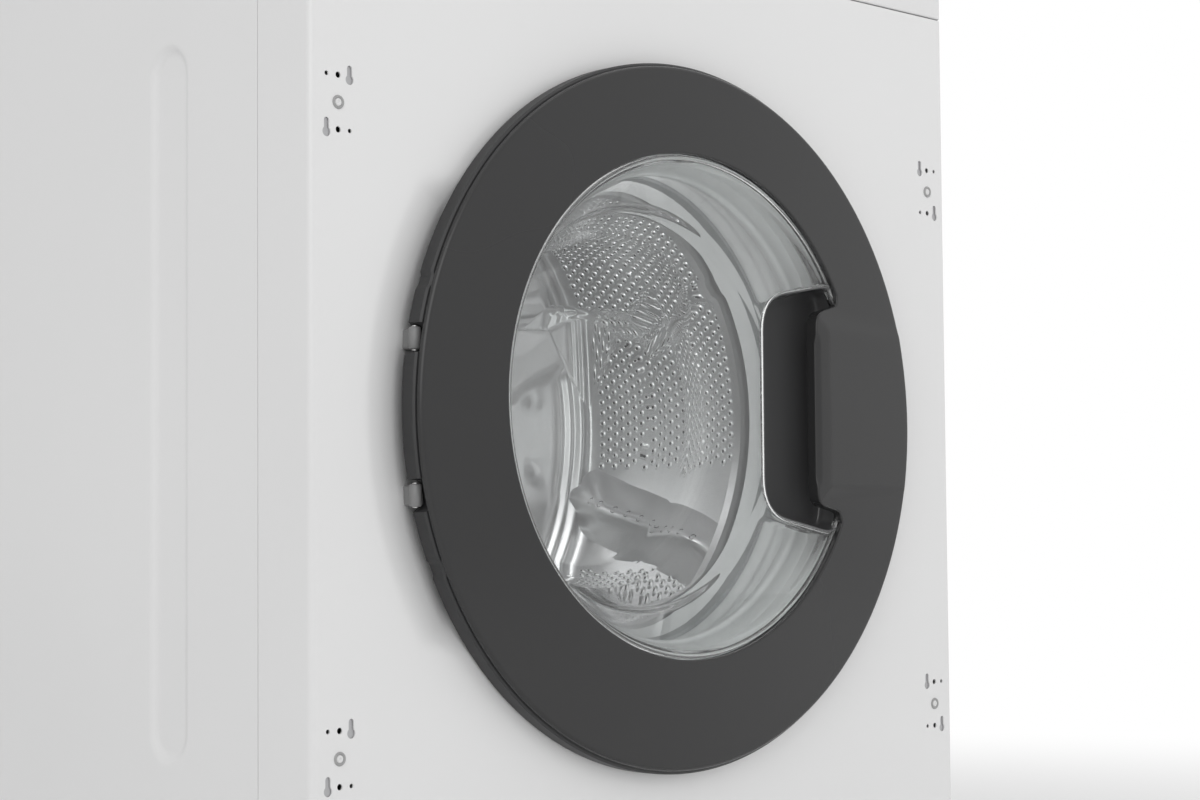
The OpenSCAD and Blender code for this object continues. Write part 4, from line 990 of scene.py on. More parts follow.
            def far(r: float) -> Vector:
                """The row's point at distance r from the window's centre."""
                return Vector((r * c, r * s))

            start, rim = here + into * self.ring_lip, far(outer - self.ring_round)
            row = [spot(start.lerp(rim, (k / self.ring_steps) ** 1.5)) for k in range(self.ring_steps + 1)]
            top, lip = row[-1][1], row[0][1]
            for b in (math.pi / 12 * k for k in range(1, 7)):
                inset = self.ring_round * (1 - math.sin(b))
                row.append(spot(far(outer - inset), top + self.ring_round * (1 - math.cos(b))))
            row += [spot(far(outer), self.rim_back), spot(far(outer - self.wall), self.rim_back),
                    spot(far(outer - self.wall - 1), None, 4.2)]
            row += [spot(start.lerp(rim, t), None, self.wall) for t in (0.84, 0.5, 0.16)]
            row += [spot(here + into * out, y) for out, y in (
                (self.wall + 0.8, self.ring_back), (0.4, self.ring_back), (0.0, self.ring_back - 0.4),
                (0.0, lip + self.ring_lip), (0.16, lip + 0.55), (0.55, lip + 0.16))]
            rows.append(row)
        ring = Form("door_ring_body").grid(rows, around=True, along=True)
        self.put(ring, "black_gloss", "door", "door_ring")

    def notched(self, z: float) -> float:
        """How far the back frame's rim is cut in at height z above the window's centre."""
        return max(cut * (1 - ease(abs(z - middle), half - 0.4, half + 0.8))
                   for middle, half, cut in self.notches)

    def frame(self) -> None:
        """Builds the dark back frame, with notches at the hinge, and the hinge knuckles in them, whose dark
        grey is painted shade, the tone of the recess floor in shade.
        """
        lift = DOOR_Z - RING_Z
        rows = []
        for turn in circle(720):
            c, s = math.cos(turn), math.sin(turn)
            rim = self.frame_r - (self.notched(self.frame_r * s - lift) if c < 0 else 0.0)
            hole = lift * s + math.sqrt(self.frame_hole ** 2 - (lift * c) ** 2)
            front, back, t = self.frame_front, self.frame_back, self.wall
            line = [(rim - t, front), (rim - 1.2, front), (rim, front + 1.2), (rim, back - 0.8),
                    (rim - 0.8, back), (hole, back), (hole, self.frame_lip), (hole + t, self.frame_lip),
                    (hole + t, back - t), (rim - t, back - t)]
            rows.append([(r * c, y, RING_Z + r * s) for r, y in line])
        form = Form("door_back_ring").grid(rows, around=True, along=True)
        self.put(form, "dark_plastic", "door", "door_back_frame")
        knuckle, pins = Form("hinge_knuckles"), Form("hinge_pin_set")
        x, y, half = self.hinge_x, self.hinge_y, self.knuckle_half - 1.2
        leaf, r, pin, reach = pill(6.4, 2 * half - 1.5, 1.5, 3), self.knuckle_r, self.pin_r, self.pin_half
        for z in (DOOR_Z + middle for middle in self.knuckles):
            knuckle.upright([(0, z - half), (r - 0.8, z - half), (r, z - half + 0.8), (r, z + half - 0.8),
                             (r - 0.8, z + half), (0, z + half)], x, y)
            knuckle.loft([at_depth(moved(leaf, x + 2.5, z), depth) for depth in (y, 8.6)])
            pins.upright([(0, z - reach), (pin, z - reach), (pin, z + reach), (0, z + reach)], x, y)
        # Painted shade: the knuckles are given the dark grey of the recess floor in shade.
        paint = Finish("hinge_paint", (0.22, 0.22, 0.22), 0.4, Pattern.ENAMEL,
                       vary=0.02, grain=700, relief=0.01)
        settle(knuckle.item(paint.make(), 50), "cabinet", "spring_steel", "hinge_bracket")
        self.put(pins, "spring_steel", "cabinet", "hinge_pins")

    def pocket_outline(self, grow: float) -> list[Flat]:
        """Outline of the pocket in x and z, grown all round."""
        middle, (wide, tall) = Vector(self.pocket_middle), self.pocket_reach
        line = []
        for x, z in rounded(self.pocket, self.pocket_round, 8):
            away = Vector((1.0 if x > middle.x else -1.0, 1.0 if z > middle.y else -1.0))
            reach = Vector((min(1.0, abs(x - middle.x) / wide) ** 4, min(1.0, abs(z - middle.y) / tall) ** 4))
            line.append((x + grow * away.x * reach.x, DOOR_Z + z + grow * away.y * reach.y))
        return line

    def grip_pocket(self) -> None:
        """Builds the smoked pocket behind the grip, with its thin rim."""
        front, back = self.screen_front, self.screen_front + self.pocket_deep

        def loop(grow: float, y: float) -> list[Point]:
            """The outline at a depth, its left side slanting away to the right."""
            keep, right = 1 - max(0.0, y - front - 1.0) * self.pocket_slant / 80.0, self.pocket_right
            return [(max(x, right - (right - x) * keep), y, z) for x, z in self.pocket_outline(grow)]

        steps = [(0.25, front + 1.5), (0.25, front - 0.5), (0.0, front - 0.75), (-0.9, front - 0.75),
                 (-1.3, front - 0.4), (-1.5, front + 1.0), (-1.8, back - 8), (-2.6, back - 4.6),
                 (-5.2, back - 2.6), (-9.0, back - 2.1)]
        loops = [loop(g, y) for g, y in steps]
        outside = [(-8.0, back), (-4.4, back - 0.6), (-1.2, back - 3.4), (0.0, back - 7.5),
                   (0.0, front + 1.6)]
        form = Form("handle_pocket_shell").grid(loops, around=True).cap(loops[-1])
        shell = [loop(g, y) for g, y in outside]
        form.grid(shell, around=True).cap(shell[0])
        form.grid([shell[-1], loops[0]], around=True)
        self.put(form, "smoke_plastic", "door", "handle_pocket", sharp=50)

    def screen(self) -> None:
        """Builds the clear screen with the pocket's opening, and the raised bead round its rim."""
        r, front = self.window_r - 0.5, self.screen_front
        edge = [(r * math.cos(a), DOOR_Z + r * math.sin(a)) for a in circle(200)]
        cut = [(min(x, 148.0), z) for x, z in self.pocket_outline(0.4)]
        cut = [(x, z) for i, (x, z) in enumerate(cut) if (x, z) != cut[i - 1]]
        kept = [(x, z) for x, z in cut if math.hypot(x, z - DOOR_Z) < r - 1.0]
        form = Form("door_clear_screen").prism(edge, front, front + self.screen_t, [kept])
        self.put(form, "clear_screen", "door", "door_screen", sharp=50, bevel=0.4)
        bead = [(r - 2.0 + 1.8 * math.cos(b), front - 0.05 - 1.7 * math.sin(b))
                for b in (math.pi * k / 10 for k in range(11))]
        form = Form("door_screen_bead").lathe(bead, steps=240)
        form.grid([at_depth(self.pocket_outline(0.7 + 0.8 * math.cos(b)), front - 0.8 - 0.8 * math.sin(b))
                   for b in (math.pi * k / 6 for k in range(7))], around=True, along=True)
        self.put(form, "clear_screen", "door", sharp=50)

    def bowl(self) -> None:
        """Builds the pressed bowl, creased above its middle, with a step behind the pocket."""
        front = self.screen_front + self.screen_t + 0.25
        neck, t, deep = self.window_r - 5, self.glass_t, self.bowl_deep
        flange = self.window_r + 5.6
        inner = rounded([(0.0, deep - 17), (70, deep - 11), (108, deep - 10), (117, deep - 18),
                         (self.bowl_r - t, self.shoulder + 4), (self.bowl_r - t + 1.5, self.shoulder - 3),
                         (neck - 4, front + 6), (neck - 1, front), (flange, front)], 9.0, 7, closed=False)
        outer = rounded([(flange, front + t - 0.3), (neck + 3, front + t),
                         (self.bowl_r + 1.6, self.shoulder - 3), (self.bowl_r, self.shoulder + 3),
                         (122, deep - 12), (110, deep - 1), (70, deep - 2), (0.0, deep - 8)],
                        8.0, 7, closed=False)
        left, right = self.pocket[0][0], self.pocket_right
        back = self.screen_front + self.pocket_deep

        def bend(x: float, z: float, y: float) -> float:
            """Slants the bowl's upper half and pushes its wall back where the pocket is."""
            slant = deep - (z - self.crease) * self.crease_fall
            if z > self.crease and y > slant:
                y = slant + (y - slant) * self.crease_keep
            dz = max(0.0, abs(z - 2.0) - 84.0)
            behind = min(back, self.screen_front + 1.0 + max(0.0, x - left) / self.pocket_slant)
            behind += self.pocket_behind
            near = (1 - ease(dz, 0.5, 3.5)) * (1 - ease(x - right, 0.5, 3.5))
            return y + near * max(0.0, behind - y) if y < behind and x > left else y

        form = Form("door_glass_bowl").lathe(inner + outer, steps=360, closed=False, bend=bend)
        self.put(form, "door_glass", "door", "door_glass", sharp=60)

    def build(self) -> None:
        """Builds the door's pieces in order."""
        self.ring()
        self.frame()
        self.grip_pocket()
        self.screen()
        self.bowl()


def walled(line: Loop, t: float) -> list[Flat]:
    """The closed outline of a sheet of thickness t about an open line."""
    sides: tuple[list[Flat], list[Flat]] = ([], [])
    for i, here in enumerate(line):
        a, b = Vector(line[max(0, i - 1)]), Vector(line[min(len(line) - 1, i + 1)])
        way = (b - a).normalized()
        for side, s in zip(sides, (0.5, -0.5)):
            side.append((here[0] - way.y * t * s, here[1] + way.x * t * s))
    return sides[0] + sides[1][::-1]


@dataclass
class Drum(Part):
    """The stainless drum: perforated wall, pressed back, and three lifters."""

    radius: float = 236.0
    mouth: float = 166.0
    front: float = 89.0
    back: float = 392.0
    sheet: float = 1.0
    turn: float = 338.0
    twist: float = 16.0
    lifter_half: float = 29.0
    lifter_high: float = 40.0
    lifter_sheet: float = 0.8
    pitch: float = 8.2
    plate: float = 320.0
    plate_r: float = 224.0
    sweep: float = 96.5
    slots: int = 9
    star_turn: float = 50.0
    arm_half: float = 24.0
    arm_high: float = 15.0
    arm_widens: float = 0.12
    arm_in: Flat = (52.0, 92.0)
    arm_out: Flat = (196.0, 216.0)
    groove_in: Flat = (84.0, 104.0)
    groove_out: Flat = (180.0, 200.0)
    groove_deep: float = 5.0
    boss_turn: float = 10.0
    boss_ring: float = 172.0
    boss_high: float = 3.6

    def emboss(self, x: float, z: float, y: float) -> float:
        """Presses a three-armed star and a ring of bosses into the back plate."""
        r = math.hypot(x, z)
        if y < self.plate - 14 or r > self.plate_r - 2 or r < 12:
            return y
        lift = 0.0
        for k in range(3):
            a = math.radians(self.turn + self.star_turn + 120 * k)
            along, off = x * math.cos(a) + z * math.sin(a), abs(-x * math.sin(a) + z * math.cos(a))
            if along > 0:
                half = self.arm_half + along * self.arm_widens
                arm = 1 - ease(off, half - 7, half + 9)
                arm *= ease(along, *self.arm_in) * (1 - ease(along, *self.arm_out))
                groove = 1 - ease(off, 4, 11)
                groove *= ease(along, *self.groove_in) * (1 - ease(along, *self.groove_out))
                lift = max(lift, self.arm_high * arm) - self.groove_deep * groove
        for k in (k for k in range(18) if k % 6 in (0, 1, 5)):
            a = math.radians(self.turn + self.boss_turn + 20 * k)
            away = math.hypot(x - self.boss_ring * math.cos(a), z - self.boss_ring * math.sin(a))
            lift += self.boss_high * (1 - ease(away, 4, 12))
        return y - lift

    def shell(self) -> None:
        """Builds the wall, front and pressed back as one sheet."""
        wall, front, plate, rim = self.radius, self.front, self.plate, self.plate_r
        line = [(self.mouth, front + 9), (self.mouth + 0.6, front + 3), (self.mouth + 5, front + 0.5)]
        line += arc(wall - 10.5, front + 10, 9.5, -90, 0, 6)
        line += [(wall - 1, plate - 14), (wall - 1.4, plate - 9), (wall - 3.4, plate - 4)]
        line += rounded([(wall - 6, plate - 2), (rim + 1, plate - 2), (rim - 4, plate - 7),
                         (rim - 9, plate + 1), (rim - 14, plate - 5), (rim - 19, plate + 2),
                         (rim - 24, plate - 3), (196.0, plate)], 3.0, 3, closed=False)
        line += [(190.0 - 6 * k, plate) for k in range(12)]
        line += [(114, plate - 2), (107, plate - 6), (101, plate - 9.5)]
        line += [(r, plate - 10.5) for r in (94, 86, 78, 70, 62, 54, 46)]
        line += [(38, plate - 12), (30, plate - 15), (14, plate - 16), (0, plate - 16)]
        form = Form("drum_sheet").lathe(walled(line, self.sheet), steps=240, bend=self.emboss)
        skirt = [(wall - 0.5, plate - 12), (wall - 0.5, self.back - 10),
                 *arc(wall - 9.5, self.back - 9.5, 9, 0, 90, 5), (60.0, self.back - 0.5)]
        form.lathe(walled(skirt, self.sheet * 0.9), steps=120)
        self.put(form, "stainless_drum", "drum", "drum_shell", sharp=50)

    def perforations(self) -> None:
        """Sets raised holes in staggered rows between the lifters, each hole a near-black disc painted as the
        shade seen through it.
        """
        inner = self.radius - self.sheet - 0.35
        start, length = self.front + 14, self.plate - self.front - 28
        rows = int(length / (self.pitch * 0.87)) + 1
        # The holes' near-black colour is painted shade of the dark space seen through each hole; the lifter
        # slots use it too.
        hollow = Finish("drum_hole", (0.012, 0.012, 0.013), 0.6, Pattern.MOULDED, vary=0.1).make()
        columns = int(math.radians(self.sweep) * inner / self.pitch)
        pieces = (("rims", [(3.4, 0.0), (2.9, -0.85), (2.2, -1.4), (1.55, -1.55), (1.25, -0.8)], 10,
                   self.looks["stainless_drum"]),
                  ("holes", [(0.0, -0.7), (1.35, -0.7)], 8, hollow))
        for k in range(3):
            tree = RoundSheet(inner, start, length, columns, rows, self.turn + 15 + 120 * k, self.sweep)
            for name, profile, steps, look in pieces:
                made = tree.make(f"drum_{name}_{k + 1}", small(profile, steps, (1, 0, 0)), look)
                settle(made, "drum", "stainless_drum")

    def lifters(self) -> None:
        """Builds the three hollow lifters, each with a row of slots drawn as near-black pills just above the
        sheet: painted shade of the slot openings.
        """
        y0, y1 = self.front + 26, self.plate - 2
        form, slots = Form("drum_lifter_set"), Form("drum_lifter_slots")

        def spot(k: int, s: float, u: float, lift: float = 0.0) -> Point:
            """A point of lifter k, at share s of its length and u across it."""
            a = math.radians(self.turn + 120 * k + self.twist * (s - 0.5))
            out, side = Vector((math.cos(a), math.sin(a))), Vector((-math.sin(a), math.cos(a)))
            high = self.lifter_high * ease(s, -0.02, 0.22) ** 0.8 * (1 - 0.5 * ease(s, 0.72, 1.0))
            half = self.lifter_half * (0.66 + 0.34 * ease(s, 0.0, 0.4))
            bell = (0.5 + 0.5 * math.cos(math.pi * u)) ** 0.62
            across = half * u * (1 - 0.18 * bell)
            foot = math.sqrt((self.radius - 1.4) ** 2 - across ** 2)
            at = out * (foot - high * bell - lift) + side * across
            return (at.x, y0 + (y1 - y0) * s, DOOR_Z + at.y)

        for k in range(3):
            form.grid([[spot(k, i / 40, -1 + j / 16) for j in range(33)] for i in range(41)])
            for i in range(self.slots):
                slots.cap([spot(k, 0.2 + 0.075 * i + py / (y1 - y0), 0.12 + px / self.lifter_half, 0.25)
                           for px, py in pill(8.0, 3.6, 1.7, 3)])
        lifter = form.item(self.looks["stainless_drum"], 60)
        self.face_in(lifter.data)
        thicken(lifter, self.lifter_sheet)
        settle(lifter, "drum", "stainless_drum", "drum_lifters")
        # The slots are painted shade: near-black pills just above the lifter, in the hole material.
        hollow = slots.item(bpy.data.materials["drum_hole"], 60)
        self.face_in(hollow.data)
        settle(hollow, "drum", "stainless_drum")

    @staticmethod
    def face_in(mesh: bpy.types.Mesh) -> None:
        """Turns each face of an open sheet towards the drum's axis."""
        axis = Vector((0, 0, DOOR_Z * METRE))
        with editing(mesh) as work:
            wrong = [f for f in work.faces
                     if f.normal.dot(Vector((1, 0, 1)) * (axis - f.calc_center_median())) < 0]
            bmesh.ops.reverse_faces(work, faces=wrong)

    def build(self) -> None:
        """Builds the drum's pieces in order."""
        self.shell()
        self.perforations()
        self.lifters()


@dataclass
class Front(Part):
    """The front panel with its pressed recess, and the seal in its mouth."""

    half: float = 297.5
    low: float = 105.0
    high: float = 700.0
    returns: float = 49.5
    corner: float = 4.0
    strip: float = 2.0
    sheet: float = 1.0
    mouth: float = 172.0
    seal_lip: tuple[Flat, ...] = ((176.5, 61.0), (173.5, 67.0), (170.0, 75.0), (168.0, 84.0))
    seal_fold: tuple[Flat, ...] = (
        (174.5, 4.0), (174.5, 11.5), (166.0, 13.5), (158.5, 11.5), (162.0, 22.0), (178.0, 31.0),
        (172.0, 40.0), (178.0, 49.0), (176.5, 57.0), (176.5, 73.0))
    recess_r: float = 257.0
    recess_floor: float = 233.5
    recess_in: float = 188.0
    recess_z: float = 390.0
    recess_half: float = 136.0
    recess_deep: float = 9.2
    recess_soft: float = 0.05
    recess_ledge: float = 0.45
    recess_right: float = -60.0
    runs: tuple[float, float, float, float] = (16.0, 30.0, 12.0, 8.0)
    zone: float = 264.0
    zone_drop: float = 8.0

    def dent(self, x: float, z: float) -> float:
        """Depth of the recess at x and height z."""
        r, up = math.hypot(x, z - self.recess_z), abs(z - self.recess_z)
        ledge, (wall_run, end_run, right_run, inner_run) = self.recess_ledge, self.runs
        wall = ledge * (self.recess_r - r) / (self.recess_r - self.recess_floor)
        if r < self.recess_floor:
            wall = ledge + (1 - ledge) * (self.recess_floor - r) / wall_run
        end = (self.recess_half + 6 - up) / end_run
        right = min(1.0, (self.recess_right - x) / right_run)
        inner = (r - self.recess_in + inner_run) / inner_run
        soft = self.recess_soft
        value = 1.0
        for part in (wall, end, right, inner):
            t = min(1.0 + soft, max(-soft, part))
            if t <= soft:
                t = (t + soft) ** 2 / (4 * soft)
            elif t >= 1 - soft:
                t = 1 - (1 + soft - t) ** 2 / (4 * soft)
            value = min(value, t)
        return self.recess_deep * value

    @staticmethod
    def hinge_holes() -> list[tuple[int, float, int, float]]:
        """Side, height of the group, way up or down and height of each pair of furniture hinge holes."""
        return [(s, z, i, z + HINGE_STEP[1] * i) for s in (-1, 1) for z in HINGE_LEVELS for i in (-1, 1)]

    def holes(self) -> list[list[Flat]]:
        """Outlines of the furniture hinge holes, each group with its keyholes."""
        out: list[list[Flat]] = []
        key = arc(0, -2.0, 3.0, 130, 410, 14) + arc(0, 4.6, 1.9, 0, 180, 6)
        for s, middle, i, z in self.hinge_holes():
            out += [moved(arc(0, 0, 1.9, 0, 330, 11), s * HINGE_X, z),
                    moved(arc(0, 0, 1.4, 0, 330, 11), s * (HINGE_X + HINGE_STEP[0] * i), z),
                    moved(key, s * (HINGE_X - HINGE_STEP[0] * i), z)]
            if i > 0:
                out.append(moved(arc(0, 0, 3.0, 0, 345, 15), s * HINGE_X, middle))
        return out

    def panel(self) -> None:
        """Builds the panel: flat field, pressed zone, rolled mouth and returns."""
        form = Form("front_panel_sheet")
        turns = circle(288)
        zone = [(self.zone * math.cos(a), DOOR_Z - self.zone_drop + self.zone * math.sin(a)) for a in turns]
        x1 = self.half - self.corner
        x0 = x1 - self.strip
        field = [(-x0, self.low), (x0, self.low), (x0, self.high), (-x0, self.high)]
        flat, form.faces = filled(field, [zone, *self.holes()])
        form.points = at_depth(flat, 0.0)
        rows = []
        for a, far in zip(turns, zone):
            row = [(r * math.cos(a), y, DOOR_Z + r * math.sin(a))
                   for r, y in ((self.mouth, 9.5), (self.mouth, 1.6), (self.mouth + 0.5, 0.5))]
            near = Vector(((self.mouth + 1.6) * math.cos(a), DOOR_Z + (self.mouth + 1.6) * math.sin(a)))
            spots = [near.lerp(Vector(far), k / 48) for k in range(49)]
            rows.append(row + [(spot.x, self.dent(spot.x, spot.y), spot.y) for spot in spots])
        form.grid(rows, along=True)
        edge = [(x0, 0.0), *arc(x1, self.corner, self.corner, -90, 0, 6),
                (self.half, self.corner + self.strip), (self.half, self.returns)]
        for s in (-1, 1):
            form.grid([[(s * x, y, z) for x, y in edge] for z in (self.low, self.high)])
        for z, deep in ((self.low, 61.0), (self.high, 15.0)):
            form.grid([[(x, y, z) for x in (-x1, -x0, x0, x1)] for y in (0.0, deep)])
        sheet = form.folded(self.looks["cabinet_white"], self.sheet, (0, -1, 0))
        settle(sheet, "cabinet", "cabinet_white", "front_panel")
        plates = Form("keyhole_plates")
        for s, _, i, z in self.hinge_holes():
            plates.prism(moved(pill(8.0, 13.5, 2.0, 3), s * (HINGE_X - HINGE_STEP[0] * i), z), 1.25, 2.2)
        settle(plates.item(self.looks["silver_plastic"]), "cabinet", "white_plastic")

    def seal(self) -> None:
        """Builds the bellows seal with rounded folds."""
        profile = walled(rounded(self.seal_fold, 5.0, 5, closed=False), 2.3)
        form = Form("door_seal_bellows").lathe(profile, steps=180)
        form.lathe(walled(self.seal_lip, 1.8), steps=180)
        self.put(form, "seal_rubber", "cabinet", "door_seal", sharp=60)

    def build(self) -> None:
        """Builds the front's pieces in order."""
        self.panel()
        self.seal()


@dataclass
class Controls(Part):
    """The fascia with its knob, buttons, display and dispenser drawer."""

    low: float = 701.0
    high: float = 813.0
    sheet: float = 2.5
    half: float = 297.5
    corner: float = 4.0
    middle: float = 757.0
    knob_x: float = -45.0
    knob_r: float = 26.0
    knob_out: float = 16.0
    window: Flat = (50.0, 150.0)
    window_half: float = 24.0
    wall: float = 2.5
    soft: float = 1.5
    arch_half: float = 49.0
    buttons: tuple[tuple[str, str, float, float], ...] = (
        ("spin", "spin_button", 175.0, 9.0), ("dry", "dry_button", 208.0, 9.0),
        ("start", "start_button", 252.0, 14.0))
    drawer: tuple[float, float, float, float] = (-285.5, 711.0, 168.0, 92.0)

    def round_hole(self, x: float, r: float) -> list[Flat]:
        """Outline of a hole on the row of controls."""
        return moved(arc(0, 0, r, 0, 352.5, 47), x, self.middle)

    def drawer_outline(self, grow: float) -> list[Flat]:
        """Outline of the drawer's front, grown all round."""
        x, z, w, h = self.drawer
        return moved(pill(w + 2 * grow, h + 2 * grow, 2.5 + grow, 4), x + w / 2, z + h / 2)

    def window_outline(self, inset: float) -> list[Flat]:
        """Outline of the display's window, drawn in all round."""
        left, right = self.window
        return moved(pill(right - left - 2 * inset, 2 * (self.window_half - inset), 2.0, 4),
                     (left + right) / 2, self.middle)

    def arch(self, grow: float) -> list[Flat]:
        """Outline of the grip opening, from its left foot over the top to its right foot."""
        left = arc(-40, 20, 9 + grow, 90, 180, 6)
        right = [(-px, pz) for px, pz in arc(-40, 20, 9 + grow, 180, 90, 6)]
        return [(-self.arch_half - grow, 0.0), *left[::-1], *right[::-1], (self.arch_half + grow, 0.0)]

    def fascia(self) -> None:
        """Builds the fascia as one open shell with its cut-outs."""
        x1 = self.half - self.corner
        x0, soft = x1 - 2.0, self.soft
        holes = [self.drawer_outline(0.8), self.round_hole(self.knob_x, 4.1), self.window_outline(0.0)]
        holes += [self.round_hole(x, r + 0.4) for _, _, x, r in self.buttons]
        form = Form("fascia_shell")
        low, high = self.low + soft, self.high - soft
        flat, form.faces = filled([(-x0, low), (x0, low), (x0, high), (-x0, high)], holes)
        form.points = at_depth(flat, 0.0)
        side = [(x0, 0.0), *arc(x1, self.corner, self.corner, -90, 0, 6), (self.half, 49.5)]
        for s in (-1, 1):
            form.grid([[(s * x, y, z) for x, y in side] for z in (low, high)])
        for z, way in ((low, -1), (high, 1)):
            rows = []
            for part in (0.0, 0.3, 0.65, 1.0):
                turn = part * math.pi / 2
                sink, rise = soft * (1 - math.cos(turn)), soft * math.sin(turn) * way
                line = [(-x + (sink if x > x1 else 0), y, z + rise) for x, y in reversed(side)]
                line += [(x - (sink if x > x1 else 0), y, z + rise) for x, y in side]
                rows.append([(x, y + (sink if abs(x) <= x1 else 0), h) for x, y, h in line])
            form.grid(rows)
        sheet = form.folded(self.looks["white_plastic"], self.sheet, (0, -1, 0))
        settle(sheet, "cabinet", "white_plastic", "control_fascia")

    def glass(self) -> None:
        """Builds the display's dark window with a soft edge."""
        form = Form("display_glass").loft([at_depth(self.window_outline(inset), y) for inset, y in (
            (0.3, 4.0), (0.3, 0.0), (0.5, -0.22), (0.9, -0.3))])
        self.put(form, "black_gloss", "cabinet", "display_window", sharp=50)

    def knob(self) -> None:
        """Builds the programme knob, its ribs and the marks round it."""
        r, out = self.knob_r, self.knob_out
        body = [(0, -out + 1.6), (r - 8, -out + 1.2), (r - 5.2, -out + 0.35), (r - 4.2, -out),
                (r - 2.6, -out), (r - 1.5, -out + 0.5), (r - 1.0, -out + 1.4), (r - 0.8, -3.4),
                (r + 0.4, -2.6), (r + 1.0, -1.8), (r + 1.0, -0.4), (4, -0.4), (4, 22.0), (0, 22.0)]
        form = Form("knob_body").lathe(body, (self.knob_x, self.middle), 96, closed=False)
        self.put(form, "silver_plastic", "programme_knob", "program_knob")
        rib = small([(0, 12.6), (0.75, 12.3), (1.15, 11.4), (1.2, 0.0)], 8)
        tree = Circle((self.knob_x, -2.8, self.middle), r - 0.9, 36)
        settle(tree.make("knob_ribs", rib, self.looks["silver_plastic"]), "programme_knob", "silver_plastic")
        mark = Form("knob_pointer").loft([
            at_depth(moved(pill(1.6 - g, 6.4 - g, 0.6, 3), self.knob_x, self.middle + r - 8.4), y)
            for g, y in ((0, -out + 1.6), (0, -out + 0.25), (0.5, -out + 0.1))])
        settle(mark.item(self.looks["dark_plastic"]), "programme_knob", "silver_plastic")
        tick = small([(0, 0.14), (1.0, 0.14), (1.15, 0.0)], 6, squash=0.42)
        tree = Circle((self.knob_x, 0.0, self.middle), r + 7.5, 16, 101.25)
        settle(tree.make("dial_marks", tick, self.looks["dark_plastic"]), "cabinet", "dark_plastic")

    def keys(self) -> None:
        """Builds the push buttons with dished faces, and the row of lamps above them."""
        for body, node, x, r in self.buttons:
            profile = [(0, -0.7), (r * 0.55, -0.85), (r - 1.6, -1.35), (r - 0.9, -1.4), (r - 0.25, -1.1),
                       (r, -0.4), (r, 2.8), (r + 2, 2.8), (r + 2, 5.5), (3, 5.5), (3, 24.0), (0, 24.0)]
            form = Form(body + "_cap").lathe(profile, (x, self.middle), 64, closed=False)
            self.put(form, "silver_plastic", body, node)
        tick = small([(0, 0.5), (0.8, 0.42), (1.15, 0.0)], 10)
        lamps = Block((175.0, 0.0, self.middle + 26), (11.0, 0, 0), 8)
        settle(lamps.make("indicator_lamps", tick, self.looks["dark_plastic"]), "cabinet", "dark_plastic")

    def tray_front(self) -> None:
        """Builds the drawer's front, hollow behind, with its arched grip."""
        x, z, w, h = self.drawer
        cx, t, arch = x + w / 2, self.wall, self.arch_half
        loop, foot = self.drawer_outline(0.0), moved(self.arch(0.0), cx, z)
        over = moved(self.arch(2.4), cx, z)
        split = max(range(len(loop)), key=lambda i: (loop[i][1] < z + 0.01) * (1000 - abs(loop[i][0] - x)))
        form = Form("drawer_face").prism(loop[:split + 1] + foot + loop[split + 1:], 0.0, t)
        for x0, x1, z0, z1 in ((x, x + w, z + h - t, z + h), (x, x + t, z + t, z + h - t),
                               (x + w - t, x + w, z + t, z + h - t), (x, cx - arch, z, z + t),
                               (cx + arch, x + w, z, z + t)):
            form.prism([(x0, z0), (x1, z0), (x1, z1), (x0, z1)], 2.4, 12.0)
        form.prism(over + foot[::-1], 2.4, 11.5)
        form.prism(over, 9.5, 11.5)
        item = form.item(self.looks["white_plastic"])
        edge = item.modifiers.new("edge", "BEVEL")
        edge.width, edge.segments, edge.limit_method = 0.7 * METRE, 2, "ANGLE"
        settle(item, "drawer", "white_plastic", "drawer_front")

    def build(self) -> None:
        """Builds the controls in order."""
        self.fascia()
        self.glass()
        self.knob()
        self.keys()
        self.tray_front()


